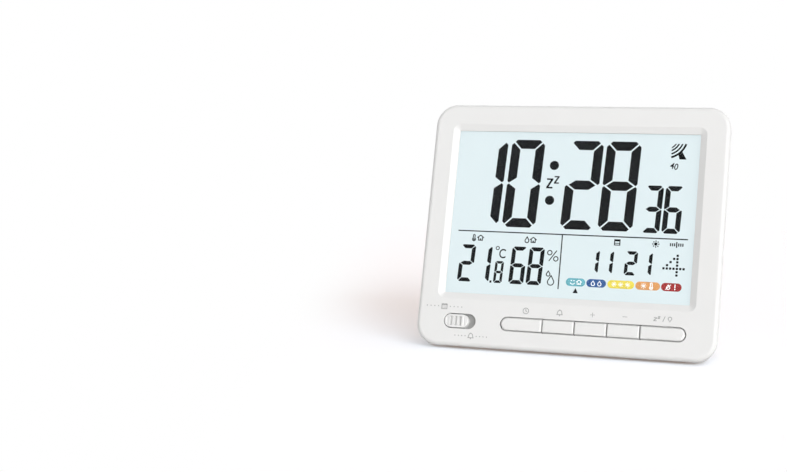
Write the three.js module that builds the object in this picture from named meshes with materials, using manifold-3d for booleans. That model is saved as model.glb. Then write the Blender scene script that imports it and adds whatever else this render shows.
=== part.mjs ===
// A digital desk clock that leans back on a fold-out stand: a bezel, a rear cover, a large display,
// five keys, a slide switch and two cells. Lengths are in millimetres, angles in degrees.
// Inside the leaning group x runs to the right, y up the face and z out of the face, whose front is z = 0.
import * as THREE from "three";
import { mergeVertices } from "three/addons/utils/BufferGeometryUtils.js";
import Module from "manifold-3d";

const wasm = await Module();
wasm.setup();

// Case
const caseWidth = 130;
const caseHeight = 108.4;
const caseDepth = 30;
const cornerRadius = 9.5;
const edgeFillet = 2;
const lean = 17.45;
const faceWall = 2;
const wall = 2;
const bezelDepth = 7;
const bezelDraft = 0.5;
const coverStep = 0.9;
const sideInset = 2.52;
const sideReach = 0.55;
const shoulderInset = 4.2;
const shoulderReach = 0.75;
const crownReach = 0.9;
const backEdgeInset = 1.4;
const backEdgeReach = 0.98;
const backInset = 13;
const gap = 0.3;

// Display window and what lies behind it
const leftMargin = 11.4;
const rightMargin = 12.3;
const bottomMargin = 23.5;
const topMargin = 11.9;
const lipWidth = 2.8;
const lipDepth = 1.2;
const displayMargin = 2.4;
const lensThickness = 1;
const lcdThickness = 1.8;
const guideThickness = 2;
const reflectorThickness = 0.4;
const holderWall = 1.2;
const holderFloor = 0.8;
const holderCorner = 4;
const stripWidth = 1.8;
const stripInset = 10;
const layerCorner = 1;
const ledLength = 8;
const ledWidth = 2;

// Circuit board and what it carries
const boardThickness = 1.2;
const boardMargin = 7;
const boardBottom = 6.4;
const boardTopMargin = 7.4;
const tactSize = 6;
const tactHeight = 3.1;
const plungerRadius = 1.6;
const plungerReach = 0.9;
const chipSize = 12;
const chipHeight = 1.6;
const crystalRadius = 1.5;
const crystalLength = 8;
const crystalToChip = 2;
const boardCorner = 2;
const sensorWidth = 12;
const sensorHeight = 8;
const sensorDepth = 5;

// Row of keys
const keyRowMargin = 12.7;
const switchToKeys = 10.9;
const controlAxis = 10.9;
const keyRowHeight = 6.4;
const firstKeyWidth = 18.5;
const middleKeyWidth = 13.92;
const middleKeys = 3;
const keyGap = 0.4;
const keyProud = 0.5;
const keyRimHeight = 0.45;
const keyRimInset = 0.25;
const keyTopEdge = 0.1;
const keyTopInset = 0.9;
const keyFlange = 1;
const keyFlangeThickness = 1;
const keyStem = 3;
const keyTravel = 0.8;

// Slide switch
const slotMargin = 12.55;
const slotLength = 14.35;
const slotHeight = 6.6;
const knobLength = 10.9;
const knobProud = 0.3;
const knobRib = 1.87;
const knobGroove = 0.9;
const knobGrooves = 4;
const knobGrooveDepth = 0.6;
const knobFirstGroove = 0.85;
const knobRim = 0.4;
const knobStemWidth = 4;
const knobStemHeight = 3.2;
const shutterThickness = 0.8;
const leverWidth = 1.5;
const leverHeight = 1.8;
const leverRise = 1;
const switchBodyHeight = 4.6;
const switchBodyEnds = 5;
const shutterCorner = 2;

// Cells, their bay and its door
const cellRadius = 7.25;
const cellLength = 49.3;
const nubRadius = 2.7;
const nubLength = 1.2;
const cellRim = 0.6;
const cellSpacing = 15.2;
const bayBelowTop = 33.4;
const bayWall = 1.5;
const doorThickness = 1.5;
const doorRim = 1.5;
const doorTabWidth = 6;
const doorTabDepth = 3;
const doorTabThickness = 1;
const doorTabSpread = 0.3;
const doorCorner = 1;
const latchLength = 12;
const gripLength = 14;
const gripHeight = 4;
const gripDepth = 0.7;
const gripBelowEdge = 5;
const contactThickness = 0.4;
const springLength = 5;
const springRadius = 3.6;
const springTaper = 0.6;
const contactMargin = 1;

// Stand
const standWidth = 56;
const standThickness = 2.8;
const standPanelDepth = 0.8;
const standPanelWidth = 0.7;
const standPanelLength = 0.5;
const standPanelCorner = 3;
const standCorner = 1;
const heelLength = 8;
const soleAllowance = 2;
const standOpen = 28;
const doorToHinge = 8;
const pinRadius = 1.1;
const barrelRadius = 2;
const recessDepth = 4.6;
const recessWall = 1.5;
const standSide = 0.5;
const footThickness = 0.8;
const standFootLength = 40;
const frontFootLength = 16;
const frontFootWidth = 8;
const frontFootSpacing = 84;
const frontFootSetback = 1;
const frontFootCorner = 2;

// Screws and their posts
const postRadius = 2;
const postReach = 12;
const postInset = 6.4;
const postBelowTop = 7.4;
const postAboveBottom = 8.8;
const screwRadius = 1;
const screwLength = 8;
const headRadius = 2.2;
const headHeight = 1.6;
const headSide = 0.6;
const headTop = 0.7;
const headWellWall = 1;
const boardPostRadius = 1.9;
const boardScrewLength = 5;

// Antenna, buzzer and reset key
const rodRadius = 3.5;
const rodLength = 58;
const rodDepth = 17;
const coilThickness = 1.1;
const coilLength = 20;
const cradleThickness = 2;
const cradleSpacing = 44;
const buzzerRadius = 7.5;
const buzzerHeight = 3;
const buzzerCupWall = 1;
const buzzerCupHeight = 2;
const buzzerToRecess = 1.5;
const buzzerBelowHinge = 16;
const chipAboveBuzzer = 22;
const soundHoleRadius = 1;
const soundHolePitch = 3.4;
const outerSoundHoles = 6;
const ventWidth = 1.4;
const ventHeight = 12;
const ventPitch = 3.4;
const ventCount = 5;
const resetAboveVent = 20;
const resetRadius = 2;
const resetSunk = 0.5;

const filletSteps = 5;
const cornerSteps = 8;
const roundSides = 20;
const smallSides = 12;
const screwSides = 16;
const smallestRadius = 0.3;
// How far a tool reaches past what it cuts, and how deep a joined piece sinks into the next
const past = 1;

// Heights and depths that follow from the sizes above
const leanAngle = THREE.MathUtils.degToRad(lean);
const leanSine = Math.sin(leanAngle);
const leanCosine = Math.cos(leanAngle);
const underside = footThickness + gap;
const groupHeight = underside - edgeFillet * (leanCosine - leanSine - 1);
const lensFront = -faceWall - gap;
const lensBack = lensFront - lensThickness;
const lcdFront = lensBack - gap;
const lcdBack = lcdFront - lcdThickness;
const guideFront = lcdBack - gap;
const guideBack = guideFront - guideThickness;
const reflectorFront = guideBack - gap;
const reflectorBack = reflectorFront - reflectorThickness;
const holderFloorFront = reflectorBack - gap;
const holderBack = holderFloorFront - holderFloor;
const boardFront = holderBack - gap;
const boardBack = boardFront - boardThickness;
const tactBack = boardFront + gap;
const tactFront = tactBack + tactHeight;
const keyFlangeFront = -faceWall - gap;
const keyFlangeBack = keyFlangeFront - keyFlangeThickness;
const plungerFront = tactFront + plungerReach;
const keyStemBack = plungerFront + gap;
const coverFront = -bezelDepth - gap;
const backInside = -caseDepth + wall;
const cellDepth = caseDepth - doorThickness - gap - cellRadius;
const bayFloor = -(cellDepth - cellRadius - gap);
const pilotRadius = screwRadius + gap;
const slotLeft = -caseWidth / 2 + slotMargin;
const slotRight = slotLeft + slotLength;
const keyRowLeft = slotRight + switchToKeys;
const keyRowRight = caseWidth / 2 - keyRowMargin;
const bayMiddle = caseHeight - bayBelowTop;
const bayLength = cellLength + nubLength + springLength + 2 * contactThickness + 4 * gap;
const bayHeight = cellSpacing + 2 * (cellRadius + gap);
const travelSlide = slotRight - slotLeft - knobLength - 2 * gap;
const pinDepth = caseDepth - barrelRadius - gap / 2;
const hingeHeight = bayMiddle - bayHeight / 2 - doorRim - doorToHinge;
const buzzerX = standWidth / 2 + standSide + recessWall + buzzerToRecess + buzzerRadius;
const buzzerY = hingeHeight - buzzerBelowHinge;
const ventX = -buzzerX;
const ventY = buzzerY;
const resetX = ventX;
const resetY = ventY + resetAboveVent;
const postX = caseWidth / 2 - postInset;
const postTop = caseHeight - postBelowTop;
const postBottom = postAboveBottom;

const windowArea = {
  x0: -caseWidth / 2 + leftMargin,
  x1: caseWidth / 2 - rightMargin,
  y0: bottomMargin,
  y1: caseHeight - topMargin,
};
const stack = grown(windowArea, displayMargin);
const holderArea = grown(stack, gap + holderWall);
const boardArea = {
  x0: -caseWidth / 2 + boardMargin,
  x1: caseWidth / 2 - boardMargin,
  y0: boardBottom,
  y1: caseHeight - boardTopMargin,
};
const keyRow = {
  x0: keyRowLeft,
  x1: keyRowRight,
  y0: controlAxis - keyRowHeight / 2,
  y1: controlAxis + keyRowHeight / 2,
};
const switchSlot = {
  x0: slotLeft,
  x1: slotRight,
  y0: controlAxis - slotHeight / 2,
  y1: controlAxis + slotHeight / 2,
};
const bay = centred(0, bayMiddle, bayLength, bayHeight);
const doorOpening = grown(bay, doorRim);
const recess = {
  x0: -standWidth / 2 - standSide,
  x1: standWidth / 2 + standSide,
  y0: -caseHeight,
  y1: hingeHeight + barrelRadius + gap,
};
const keyNames = ["time_key", "alarm_key", "plus_key", "minus_key", "snooze_light_key"];
const casePosts = [
  ["top_left", -postX, postTop],
  ["top_right", postX, postTop],
  ["bottom_left", -postX, postBottom],
  ["bottom_right", postX, postBottom],
];
const boardPosts = [
  ["left", stack.x0 - boardPostRadius, holderArea.y0 - boardPostRadius - 2 * gap],
  ["middle", (slotRight + keyRowLeft) / 2, controlAxis],
  ["right", stack.x1 + boardPostRadius, holderArea.y0 - boardPostRadius - 2 * gap],
];

function centred(x, y, width, height) {
  return { x0: x - width / 2, x1: x + width / 2, y0: y - height / 2, y1: y + height / 2 };
}

function grown(area, by) {
  return { x0: area.x0 - by, x1: area.x1 + by, y0: area.y0 - by, y1: area.y1 + by };
}

// A closed geometry as a solid that can be cut and joined
function solid(geometry) {
  const bare = geometry.clone();
  bare.deleteAttribute("normal");
  bare.deleteAttribute("uv");
  const merged = mergeVertices(bare, 1e-4);
  const index = merged.index.array;
  const triangles = [];
  for (let i = 0; i < index.length; i += 3) {
    const [a, b, c] = [index[i], index[i + 1], index[i + 2]];
    if (a !== b && b !== c && c !== a) triangles.push(a, b, c);
  }
  return new wasm.Manifold(
    new wasm.Mesh({
      numProp: 3,
      vertProperties: merged.attributes.position.array,
      triVerts: new Uint32Array(triangles),
    }),
  );
}

function joined(first, ...others) {
  return others.reduce((whole, piece) => whole.add(piece), first);
}

function cut(first, ...others) {
  return others.reduce((whole, piece) => whole.subtract(piece), first);
}

// A rounded rectangle at one depth, counter-clockwise, with the same count of points at any size
function ring(area, radius, z) {
  const most = Math.min(area.x1 - area.x0, area.y1 - area.y0) / 2;
  const r = Math.min(Math.max(radius, smallestRadius), most);
  const corners = [
    [area.x1 - r, area.y0 + r, -Math.PI / 2],
    [area.x1 - r, area.y1 - r, 0],
    [area.x0 + r, area.y1 - r, Math.PI / 2],
    [area.x0 + r, area.y0 + r, Math.PI],
  ];
  const points = [];
  for (const [x, y, from] of corners) {
    for (let i = 0; i <= cornerSteps; i++) {
      const angle = from + ((Math.PI / 2) * i) / cornerSteps;
      points.push([x + r * Math.cos(angle), y + r * Math.sin(angle), z]);
    }
  }
  return points;
}

// A solid through rings of equal point counts, listed from the back to the front
function loft(rings) {
  const count = rings[0].length;
  const positions = rings.flat(2);
  const index = [];
  for (let level = 0; level < rings.length - 1; level++) {
    for (let i = 0; i < count; i++) {
      const a = level * count + i;
      const b = level * count + ((i + 1) % count);
      index.push(a, b, b + count, a, b + count, a + count);
    }
  }
  const last = (rings.length - 1) * count;
  for (let i = 1; i < count - 1; i++) {
    index.push(0, i + 1, i);
    index.push(last, last + i, last + i + 1);
  }
  const geometry = new THREE.BufferGeometry();
  geometry.setAttribute("position", new THREE.Float32BufferAttribute(positions, 3));
  geometry.setIndex(index);
  return solid(geometry);
}

function slab(area, radius, back, front) {
  return loft([ring(area, radius, back), ring(area, radius, front)]);
}

function block(area, back, front) {
  const geometry = new THREE.BoxGeometry(area.x1 - area.x0, area.y1 - area.y0, front - back);
  geometry.translate((area.x0 + area.x1) / 2, (area.y0 + area.y1) / 2, (back + front) / 2);
  return solid(geometry);
}

// A round bar along z, from one depth to another
function bar(x, y, radius, back, front, sides = roundSides) {
  const geometry = new THREE.CylinderGeometry(radius, radius, front - back, sides);
  geometry.rotateX(Math.PI / 2);
  geometry.translate(x, y, (back + front) / 2);
  return solid(geometry);
}

// A round bar along x
function axle(x0, x1, y, z, radius, sides = roundSides) {
  const geometry = new THREE.CylinderGeometry(radius, radius, x1 - x0, sides);
  geometry.rotateZ(Math.PI / 2);
  geometry.translate((x0 + x1) / 2, y, z);
  return solid(geometry);
}

// A profile turned about x: [distance along x, radius] pairs that start and end on the axis
function turnedAlongX(profile, x, y, z) {
  const points = profile.map(([along, radius]) => new THREE.Vector2(radius, along));
  const geometry = new THREE.LatheGeometry(points, roundSides);
  geometry.rotateZ(-Math.PI / 2);
  geometry.translate(x, y, z);
  return solid(geometry);
}

// Takes away what lies lower than a height over the table
function aboveTable(piece, height) {
  const size = 4 * caseWidth;
  const geometry = new THREE.BoxGeometry(size, size, size);
  geometry.translate(0, 0, height - groupHeight - size / 2);
  geometry.rotateX(leanAngle - Math.PI / 2);
  return piece.subtract(solid(geometry));
}

// The case outline drawn in by an inset, with rounder or tighter corners to match
function caseRing(inset, z) {
  const area = {
    x0: -caseWidth / 2 + inset,
    x1: caseWidth / 2 - inset,
    y0: inset,
    y1: caseHeight - inset,
  };
  return ring(area, cornerRadius - inset / 2, z);
}

function bezelOutside() {
  const rings = [caseRing(bezelDraft, -bezelDepth)];
  for (let i = 0; i <= filletSteps; i++) {
    const angle = ((Math.PI / 2) * i) / filletSteps;
    const inset = edgeFillet * (1 - Math.cos(angle));
    rings.push(caseRing(inset, -edgeFillet * (1 - Math.sin(angle))));
  }
  return loft(rings);
}

function frontBezel() {
  const inside = wall + bezelDraft;
  const hollow = loft([caseRing(inside, -bezelDepth - past), caseRing(inside, -faceWall)]);
  const lip = loft([
    ring(windowArea, smallestRadius, -lipDepth),
    ring(grown(windowArea, lipWidth), lipWidth, 0),
    ring(grown(windowArea, lipWidth * 2), lipWidth, lipDepth),
  ]);
  let bezel = cut(bezelOutside(), aboveTable(hollow, underside + wall), lip);
  bezel = cut(bezel, slab(windowArea, smallestRadius, -faceWall - past, past));
  bezel = cut(bezel, slab(keyRow, keyRowHeight / 2, -faceWall - past, past));
  bezel = cut(bezel, slab(switchSlot, slotHeight / 2, -faceWall - past, past));
  for (const [, x, y] of casePosts) {
    const post = bar(x, y, postRadius, -postReach, -faceWall + past);
    const pilot = bar(x, y, pilotRadius, -postReach - past, -faceWall - past);
    bezel = cut(joined(bezel, post), pilot);
  }
  for (const [, x, y] of boardPosts) {
    const post = bar(x, y, boardPostRadius, boardFront + gap, -faceWall + past);
    bezel = cut(joined(bezel, post), bar(x, y, pilotRadius, boardFront, -faceWall - past));
  }
  return aboveTable(bezel, underside);
}

// Depths and insets of the rear cover's outside, from its front edge to its flat back
function coverStations(shrink) {
  return [
    [coverFront, coverStep + shrink],
    [-caseDepth * sideReach, sideInset + shrink],
    [-caseDepth * shoulderReach, shoulderInset + shrink],
    [-caseDepth * crownReach, (shoulderInset + backInset) / 2 + shrink],
    [-caseDepth * backEdgeReach, backInset - backEdgeInset + shrink],
    [-caseDepth, backInset + shrink],
  ];
}

function coverOutside() {
  const rings = coverStations(0).map(([z, inset]) => caseRing(inset, z));
  return loft(rings.reverse());
}

function coverInside() {
  const rings = coverStations(wall).map(([z, inset]) => {
    const depth = z === coverFront ? z + past : Math.max(z + wall / 2, backInside);
    return caseRing(inset, depth);
  });
  rings.pop();
  return aboveTable(loft(rings.reverse()), underside + wall);
}

// A row of upright slots in the back, behind the sensor
function ventSlots() {
  const slots = [];
  for (let i = 0; i < ventCount; i++) {
    const x = ventX + (i - (ventCount - 1) / 2) * ventPitch;
    const area = centred(x, ventY, ventWidth, ventHeight);
    slots.push(slab(area, ventWidth / 2, -caseDepth - past, backInside + past));
  }
  return slots;
}

// A round hole with a ring of holes about it, behind the buzzer
function soundHoles() {
  const places = [[buzzerX, buzzerY]];
  for (let i = 0; i < outerSoundHoles; i++) {
    const angle = (2 * Math.PI * i) / outerSoundHoles;
    const x = buzzerX + soundHolePitch * Math.cos(angle);
    places.push([x, buzzerY + soundHolePitch * Math.sin(angle)]);
  }
  return places.map(([x, y]) => {
    return bar(x, y, soundHoleRadius, -caseDepth - past, backInside + past, smallSides);
  });
}

function rearCover() {
  const outside = coverOutside();
  let cover = cut(outside, coverInside());
  const bayBox = block(grown(bay, bayWall), backInside - past, bayFloor + bayWall);
  const rimBox = block(grown(doorOpening, bayWall), backInside - past, backInside + doorThickness);
  const recessFloor = -caseDepth + recessDepth;
  const recessBox = block(grown(recess, recessWall), backInside - past, recessFloor + recessWall);
  const cupRadius = buzzerRadius + gap + buzzerCupWall;
  const cup = bar(buzzerX, buzzerY, cupRadius, backInside - past, backInside + buzzerCupHeight);
  const inner = [bayBox, rimBox, recessBox, cup];
  for (const side of [-1, 1]) {
    const x = (side * cradleSpacing) / 2;
    const area = centred(x, antennaHeight(), cradleThickness, 2 * rodRadius);
    inner.push(block(area, backInside - past, -rodDepth));
  }
  for (const [, x, y] of casePosts) {
    inner.push(bar(x, y, headRadius + gap + headWellWall, -caseDepth, -postReach - gap));
  }
  for (const piece of inner) cover = joined(cover, piece.intersect(outside));
  const outer = -caseDepth - past;
  cover = cut(cover, block(bay, outer, bayFloor));
  cover = cut(cover, block(doorOpening, outer, -caseDepth + doorThickness + gap));
  cover = cut(cover, block(recess, outer, recessFloor));
  const well = bar(buzzerX, buzzerY, buzzerRadius + gap, backInside, backInside + buzzerHeight);
  cover = cut(cover, well);
  const rod = axle(-rodLength, rodLength, antennaHeight(), -rodDepth, rodRadius + gap);
  const pinEnd = recess.x1 + recessWall + past;
  cover = cut(cover, rod, axle(-pinEnd, pinEnd, hingeHeight, -pinDepth, pinRadius + gap));
  cover = cut(cover, ...ventSlots(), ...soundHoles());
  cover = cut(cover, bar(resetX, resetY, resetRadius + gap, outer, backInside + past));
  for (const [, x, y] of casePosts) {
    const headSeat = -postReach - gap - wall;
    cover = cut(cover, bar(x, y, headRadius + gap, outer, headSeat));
    cover = cut(cover, bar(x, y, pilotRadius, outer, -postReach));
    cover = cut(cover, bar(x, y, postRadius + gap, -postReach - gap, coverFront + past));
  }
  return aboveTable(cover, underside);
}

// The rod lies over the bay, clear of it by its coil
function antennaHeight() {
  return bay.y1 + bayWall + rodRadius + coilThickness + 3 * gap;
}

function displayHolder() {
  const pocket = slab(grown(stack, gap), layerCorner, holderFloorFront, lensFront + past);
  const outside = slab(holderArea, holderCorner, holderBack, lensFront);
  const strip = grown(stripArea(), gap);
  return cut(outside, pocket, block(strip, holderBack - past, lensFront));
}

function stripArea() {
  return {
    x0: stack.x0 + stripInset,
    x1: stack.x1 - stripInset,
    y0: stack.y0 + gap,
    y1: stack.y0 + gap + stripWidth,
  };
}

// The guide is short at the left for its light and at the bottom for the contact strip
function guideArea() {
  return { ...stack, x0: stack.x0 + ledWidth + gap, y0: stripArea().y1 + gap };
}

function mainBoard() {
  let board = slab(boardArea, boardCorner, boardBack, boardFront);
  for (const [, x, y] of casePosts) {
    board = cut(board, bar(x, y, postRadius + 2 * gap, boardBack - past, boardFront + past));
  }
  for (const [, x, y] of boardPosts) {
    board = cut(board, bar(x, y, pilotRadius, boardBack - past, boardFront + past));
  }
  return board;
}

// The stretch of the row that one key fills
function keySpan(i) {
  const edges = [keyRowLeft];
  for (let k = 0; k <= middleKeys; k++) {
    edges.push(keyRowLeft + firstKeyWidth + k * middleKeyWidth);
  }
  edges.push(keyRowRight);
  const left = i === 0 ? edges[0] + keyGap : edges[i] + keyGap / 2;
  const right = i === middleKeys + 1 ? edges[i + 1] - keyGap : edges[i + 1] - keyGap / 2;
  return { x0: left, x1: right, y0: keyRow.y0 - keyFlange, y1: keyRow.y1 + keyFlange };
}

function keyMiddle(i) {
  const span = keySpan(i);
  return (span.x0 + span.x1) / 2;
}

function keyCap(i) {
  const row = grown(keyRow, -keyGap);
  const end = keyRowHeight / 2 - keyGap;
  const caps = loft([
    ring(row, end, keyFlangeFront - keyFlangeThickness / 2),
    ring(row, end, keyProud - keyRimHeight),
    ring(grown(row, -keyRimInset), end - keyRimInset, keyProud - keyTopEdge),
    ring(grown(row, -keyTopInset), end - keyTopInset, keyProud),
  ]);
  const span = keySpan(i);
  const head = caps.intersect(block(span, keyFlangeBack, keyProud + past));
  const flange = block(span, keyFlangeBack, keyFlangeFront);
  const stemArea = centred(keyMiddle(i), controlAxis, keyStem, keyStem);
  return joined(head, flange, block(stemArea, keyStemBack, keyFlangeFront));
}

// A tact switch on either side of the board: a case with a well for its plunger
function tactCase(x, y, back, front) {
  const outward = Math.sign(front - back);
  const body = block(
    centred(x, y, tactSize, tactSize),
    Math.min(back, front),
    Math.max(back, front),
  );
  const floor = back + outward * gap;
  const mouth = front + outward;
  const well = bar(x, y, plungerRadius + gap, Math.min(floor, mouth), Math.max(floor, mouth));
  return cut(body, well);
}

function slideKnob() {
  const area = {
    x0: slotLeft + gap,
    x1: slotLeft + gap + knobLength,
    y0: switchSlot.y0 + keyGap,
    y1: switchSlot.y1 - keyGap,
  };
  const end = (area.y1 - area.y0) / 2;
  let knob = loft([
    ring(area, end, -faceWall),
    ring(area, end, knobProud - knobRim),
    ring(grown(area, -knobRim), end - knobRim, knobProud),
  ]);
  for (let i = 0; i < knobGrooves; i++) {
    const x = slotLeft + knobRib * (i + knobFirstGroove);
    const groove = centred(x, controlAxis, knobGroove, slotHeight);
    knob = cut(knob, block(groove, knobProud - knobGrooveDepth, knobProud + past));
  }
  const stem = centred(stemMiddle(), controlAxis, knobStemWidth, knobStemHeight);
  const socket = centred(stemMiddle(), controlAxis, leverWidth + 2 * gap, leverHeight + 2 * gap);
  const stemBack = tactFront + gap;
  knob = joined(knob, block(stem, stemBack, -faceWall + past / 2));
  return cut(knob, block(socket, stemBack - past, stemBack + leverRise + 2 * gap));
}

function stemMiddle() {
  return slotLeft + gap + knobLength / 2;
}

// The plate behind the slot that moves with the knob and closes the slot beside it
function slideShutter() {
  const area = {
    x0: slotLeft - travelSlide - 2 * gap,
    x1: slotRight + 2 * gap,
    y0: switchSlot.y0 - 2 * gap,
    y1: switchSlot.y1 + 2 * gap,
  };
  const hole = centred(
    stemMiddle(),
    controlAxis,
    knobStemWidth + 2 * gap,
    knobStemHeight + 2 * gap,
  );
  const back = -faceWall - gap - shutterThickness;
  return cut(slab(area, shutterCorner, back, -faceWall - gap), block(hole, back - past, 0));
}

function slideSwitchCase() {
  const length = leverWidth + travelSlide + switchBodyEnds;
  const middle = stemMiddle() + travelSlide / 2;
  const body = block(centred(middle, controlAxis, length, switchBodyHeight), tactBack, tactFront);
  const run = centred(
    middle,
    controlAxis,
    leverWidth + travelSlide + 2 * gap,
    leverHeight + 2 * gap,
  );
  return cut(body, block(run, tactBack + gap, tactFront + past));
}

function slideLever() {
  const area = centred(stemMiddle(), controlAxis, leverWidth, leverHeight);
  return block(area, tactBack + 2 * gap, tactFront + leverRise + gap);
}

// A cell lies along x, its nub to one side
function cell(y, side) {
  const half = (cellLength + nubLength) / 2;
  const profile = [
    [-half, 0],
    [-half, cellRadius - cellRim],
    [-half + cellRim, cellRadius],
    [half - nubLength - cellRim, cellRadius],
    [half - nubLength, cellRadius - cellRim],
    [half - nubLength, nubRadius],
    [half, nubRadius],
    [half, 0],
  ];
  const turned = side > 0 ? profile : profile.map(([x, r]) => [-x, r]).reverse();
  return turnedAlongX(turned, cellMiddle(side), y, -cellDepth);
}

// The spring stands at the flat end, so the cell sits nearer the other end of the bay
function cellMiddle(side) {
  const nubWall = bay.x1 - gap - contactThickness - gap;
  return side * (nubWall - (cellLength + nubLength) / 2);
}

// The spring narrows towards the cell's flat end, and its plain solid fills its outline
function cellSpring(y, side) {
  const plate = bay.x1 - gap - contactThickness - gap;
  const tip = plate - springLength + gap;
  const profile = [
    [-plate, 0],
    [-plate, springRadius],
    [-tip, springRadius * springTaper],
    [-tip, 0],
  ];
  const turned = side > 0 ? profile : profile.map(([x, r]) => [-x, r]).reverse();
  return turnedAlongX(turned, 0, y, -cellDepth);
}

function contactPlate(side, y, height) {
  const near = side * (bay.x1 - gap);
  const far = near - side * contactThickness;
  const area = {
    x0: Math.min(near, far),
    x1: Math.max(near, far),
    y0: y - height / 2,
    y1: y + height / 2,
  };
  return block(area, -cellDepth - cellRadius + contactMargin, bayFloor - gap);
}

function batteryDoor() {
  const area = grown(doorOpening, -gap);
  const inner = -caseDepth + doorThickness;
  let door = slab(area, doorCorner, -caseDepth, inner);
  const grip = centred(0, area.y1 - gripBelowEdge, gripLength, gripHeight);
  door = cut(door, slab(grip, gripHeight / 2, -caseDepth - past, -caseDepth + gripDepth));
  for (const side of [-1, 1]) {
    const x = side * bayLength * doorTabSpread;
    const tab = {
      x0: x - doorTabWidth / 2,
      x1: x + doorTabWidth / 2,
      y0: bay.y0 + gap,
      y1: bay.y0 + gap + doorTabThickness,
    };
    door = joined(door, block(tab, inner - past / 2, inner + doorTabDepth));
  }
  const latchHeight = bay.y1 - gap - doorTabThickness / 2;
  const latch = centred(0, latchHeight, latchLength, doorTabThickness);
  return joined(door, block(latch, inner - past / 2, inner + doorTabDepth));
}

// The stand is drawn folded down along the back, with its pin at the origin
function standLength() {
  const pinHeight = groupHeight + hingeHeight * leanCosine - pinDepth * leanSine;
  const steep = THREE.MathUtils.degToRad(standOpen - lean);
  return (pinHeight - underside) / Math.cos(steep);
}

// Takes away what would lie lower than the sole once the stand is open
function aboveSole(piece, height) {
  const size = 4 * standWidth;
  const pinHeight = groupHeight + hingeHeight * leanCosine - pinDepth * leanSine;
  const geometry = new THREE.BoxGeometry(size, size, size);
  geometry.translate(0, 0, height - pinHeight - size / 2);
  geometry.rotateX(leanAngle - Math.PI / 2 - THREE.MathUtils.degToRad(standOpen));
  return piece.subtract(solid(geometry));
}

function standLeg() {
  const length = standLength() + soleAllowance;
  const back = -barrelRadius;
  const legArea = { x0: -standWidth / 2, x1: standWidth / 2, y0: -length, y1: 0 };
  const leg = slab(legArea, standCorner, back, back + standThickness);
  const heel = block({ ...legArea, y1: heelLength - length }, back, barrelRadius - gap);
  const barrel = axle(-standWidth / 2, standWidth / 2, 0, 0, barrelRadius);
  const panelWidth = standWidth * standPanelWidth;
  const panelArea = centred(0, -length / 2, panelWidth, length * standPanelLength);
  const panel = slab(panelArea, standPanelCorner, back - past, back + standPanelDepth);
  const pinHole = axle(-standWidth, standWidth, 0, 0, pinRadius + gap);
  return cut(aboveSole(joined(leg, heel, barrel), underside), panel, pinHole);
}

// The sole is drawn flat, as it lies on the table: x, then the depth behind the pin, then the height
function standSole() {
  const steep = THREE.MathUtils.degToRad(standOpen - lean);
  const middle = standLength() * Math.sin(steep);
  const width = (2 * barrelRadius - gap) / Math.cos(steep) - 2 * gap;
  const area = centred(0, middle, standFootLength, width);
  return slab(area, standCorner, 0, footThickness);
}

function screwAlongZ(x, y, head, length) {
  const profile = [
    [0, 0],
    [screwRadius, 0],
    [screwRadius, length],
    [headRadius, length],
    [headRadius, length + headHeight * headSide],
    [headRadius * headTop, length + headHeight],
    [0, length + headHeight],
  ];
  const points = profile.map(([radius, along]) => new THREE.Vector2(radius, along));
  const geometry = new THREE.LatheGeometry(points, screwSides);
  geometry.rotateX(-Math.PI / 2);
  geometry.translate(x, y, head + length);
  return solid(geometry);
}

// Finishes: colour, roughness and metalness
const finishes = {
  whiteShell: [0xeeeeed, 0.45, 0],
  clear: [0xf4f8fa, 0.06, 0],
  lcdGlass: [0xe4f1f8, 0.25, 0],
  milky: [0xf8fafa, 0.35, 0],
  shutterGrey: [0xa5a5a4, 0.6, 0],
  rubberGrey: [0x8d8d8c, 0.85, 0],
  darkPlastic: [0x2b2b2d, 0.5, 0],
  boardGreen: [0x2f6b46, 0.5, 0],
  steel: [0xc6c8ca, 0.3, 1],
  ferrite: [0x3a3a3c, 0.7, 0],
  copper: [0xb8733a, 0.35, 1],
  cellJacket: [0x4f6f8c, 0.4, 0],
};

function named(name, shape, finish) {
  const made = shape.getMesh();
  const geometry = new THREE.BufferGeometry();
  const positions = new Float32Array(made.numVert * 3);
  for (let i = 0; i < made.numVert; i++) {
    for (let k = 0; k < 3; k++) {
      positions[i * 3 + k] = made.vertProperties[i * made.numProp + k];
    }
  }
  geometry.setAttribute("position", new THREE.BufferAttribute(positions, 3));
  geometry.setIndex(new THREE.BufferAttribute(new Uint32Array(made.triVerts), 1));
  geometry.computeVertexNormals();
  const [color, roughness, metalness] = finishes[finish];
  const material = new THREE.MeshStandardMaterial({ color, roughness, metalness });
  const mesh = new THREE.Mesh(geometry, material);
  mesh.name = name;
  return mesh;
}

function caseParts() {
  return [
    named("front_bezel", frontBezel(), "whiteShell"),
    named("rear_cover", rearCover(), "whiteShell"),
    named("battery_door", batteryDoor(), "whiteShell"),
  ];
}

function displayParts() {
  const led = {
    x0: stack.x0,
    x1: stack.x0 + ledWidth,
    y0: (stack.y0 + stack.y1 - ledLength) / 2,
    y1: (stack.y0 + stack.y1 + ledLength) / 2,
  };
  return [
    named("display_lens", slab(stack, layerCorner, lensBack, lensFront), "clear"),
    named("lcd_panel", slab(stack, smallestRadius, lcdBack, lcdFront), "lcdGlass"),
    named("light_guide", slab(guideArea(), layerCorner, guideBack, guideFront), "milky"),
    named("reflector_sheet", slab(guideArea(), layerCorner, reflectorBack, reflectorFront), "milky"),
    named("display_holder", displayHolder(), "milky"),
    named("backlight_led", block(led, guideBack, guideFront), "milky"),
    named("lcd_contact_strip", block(stripArea(), boardFront + gap, lcdBack - gap), "rubberGrey"),
  ];
}

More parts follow.
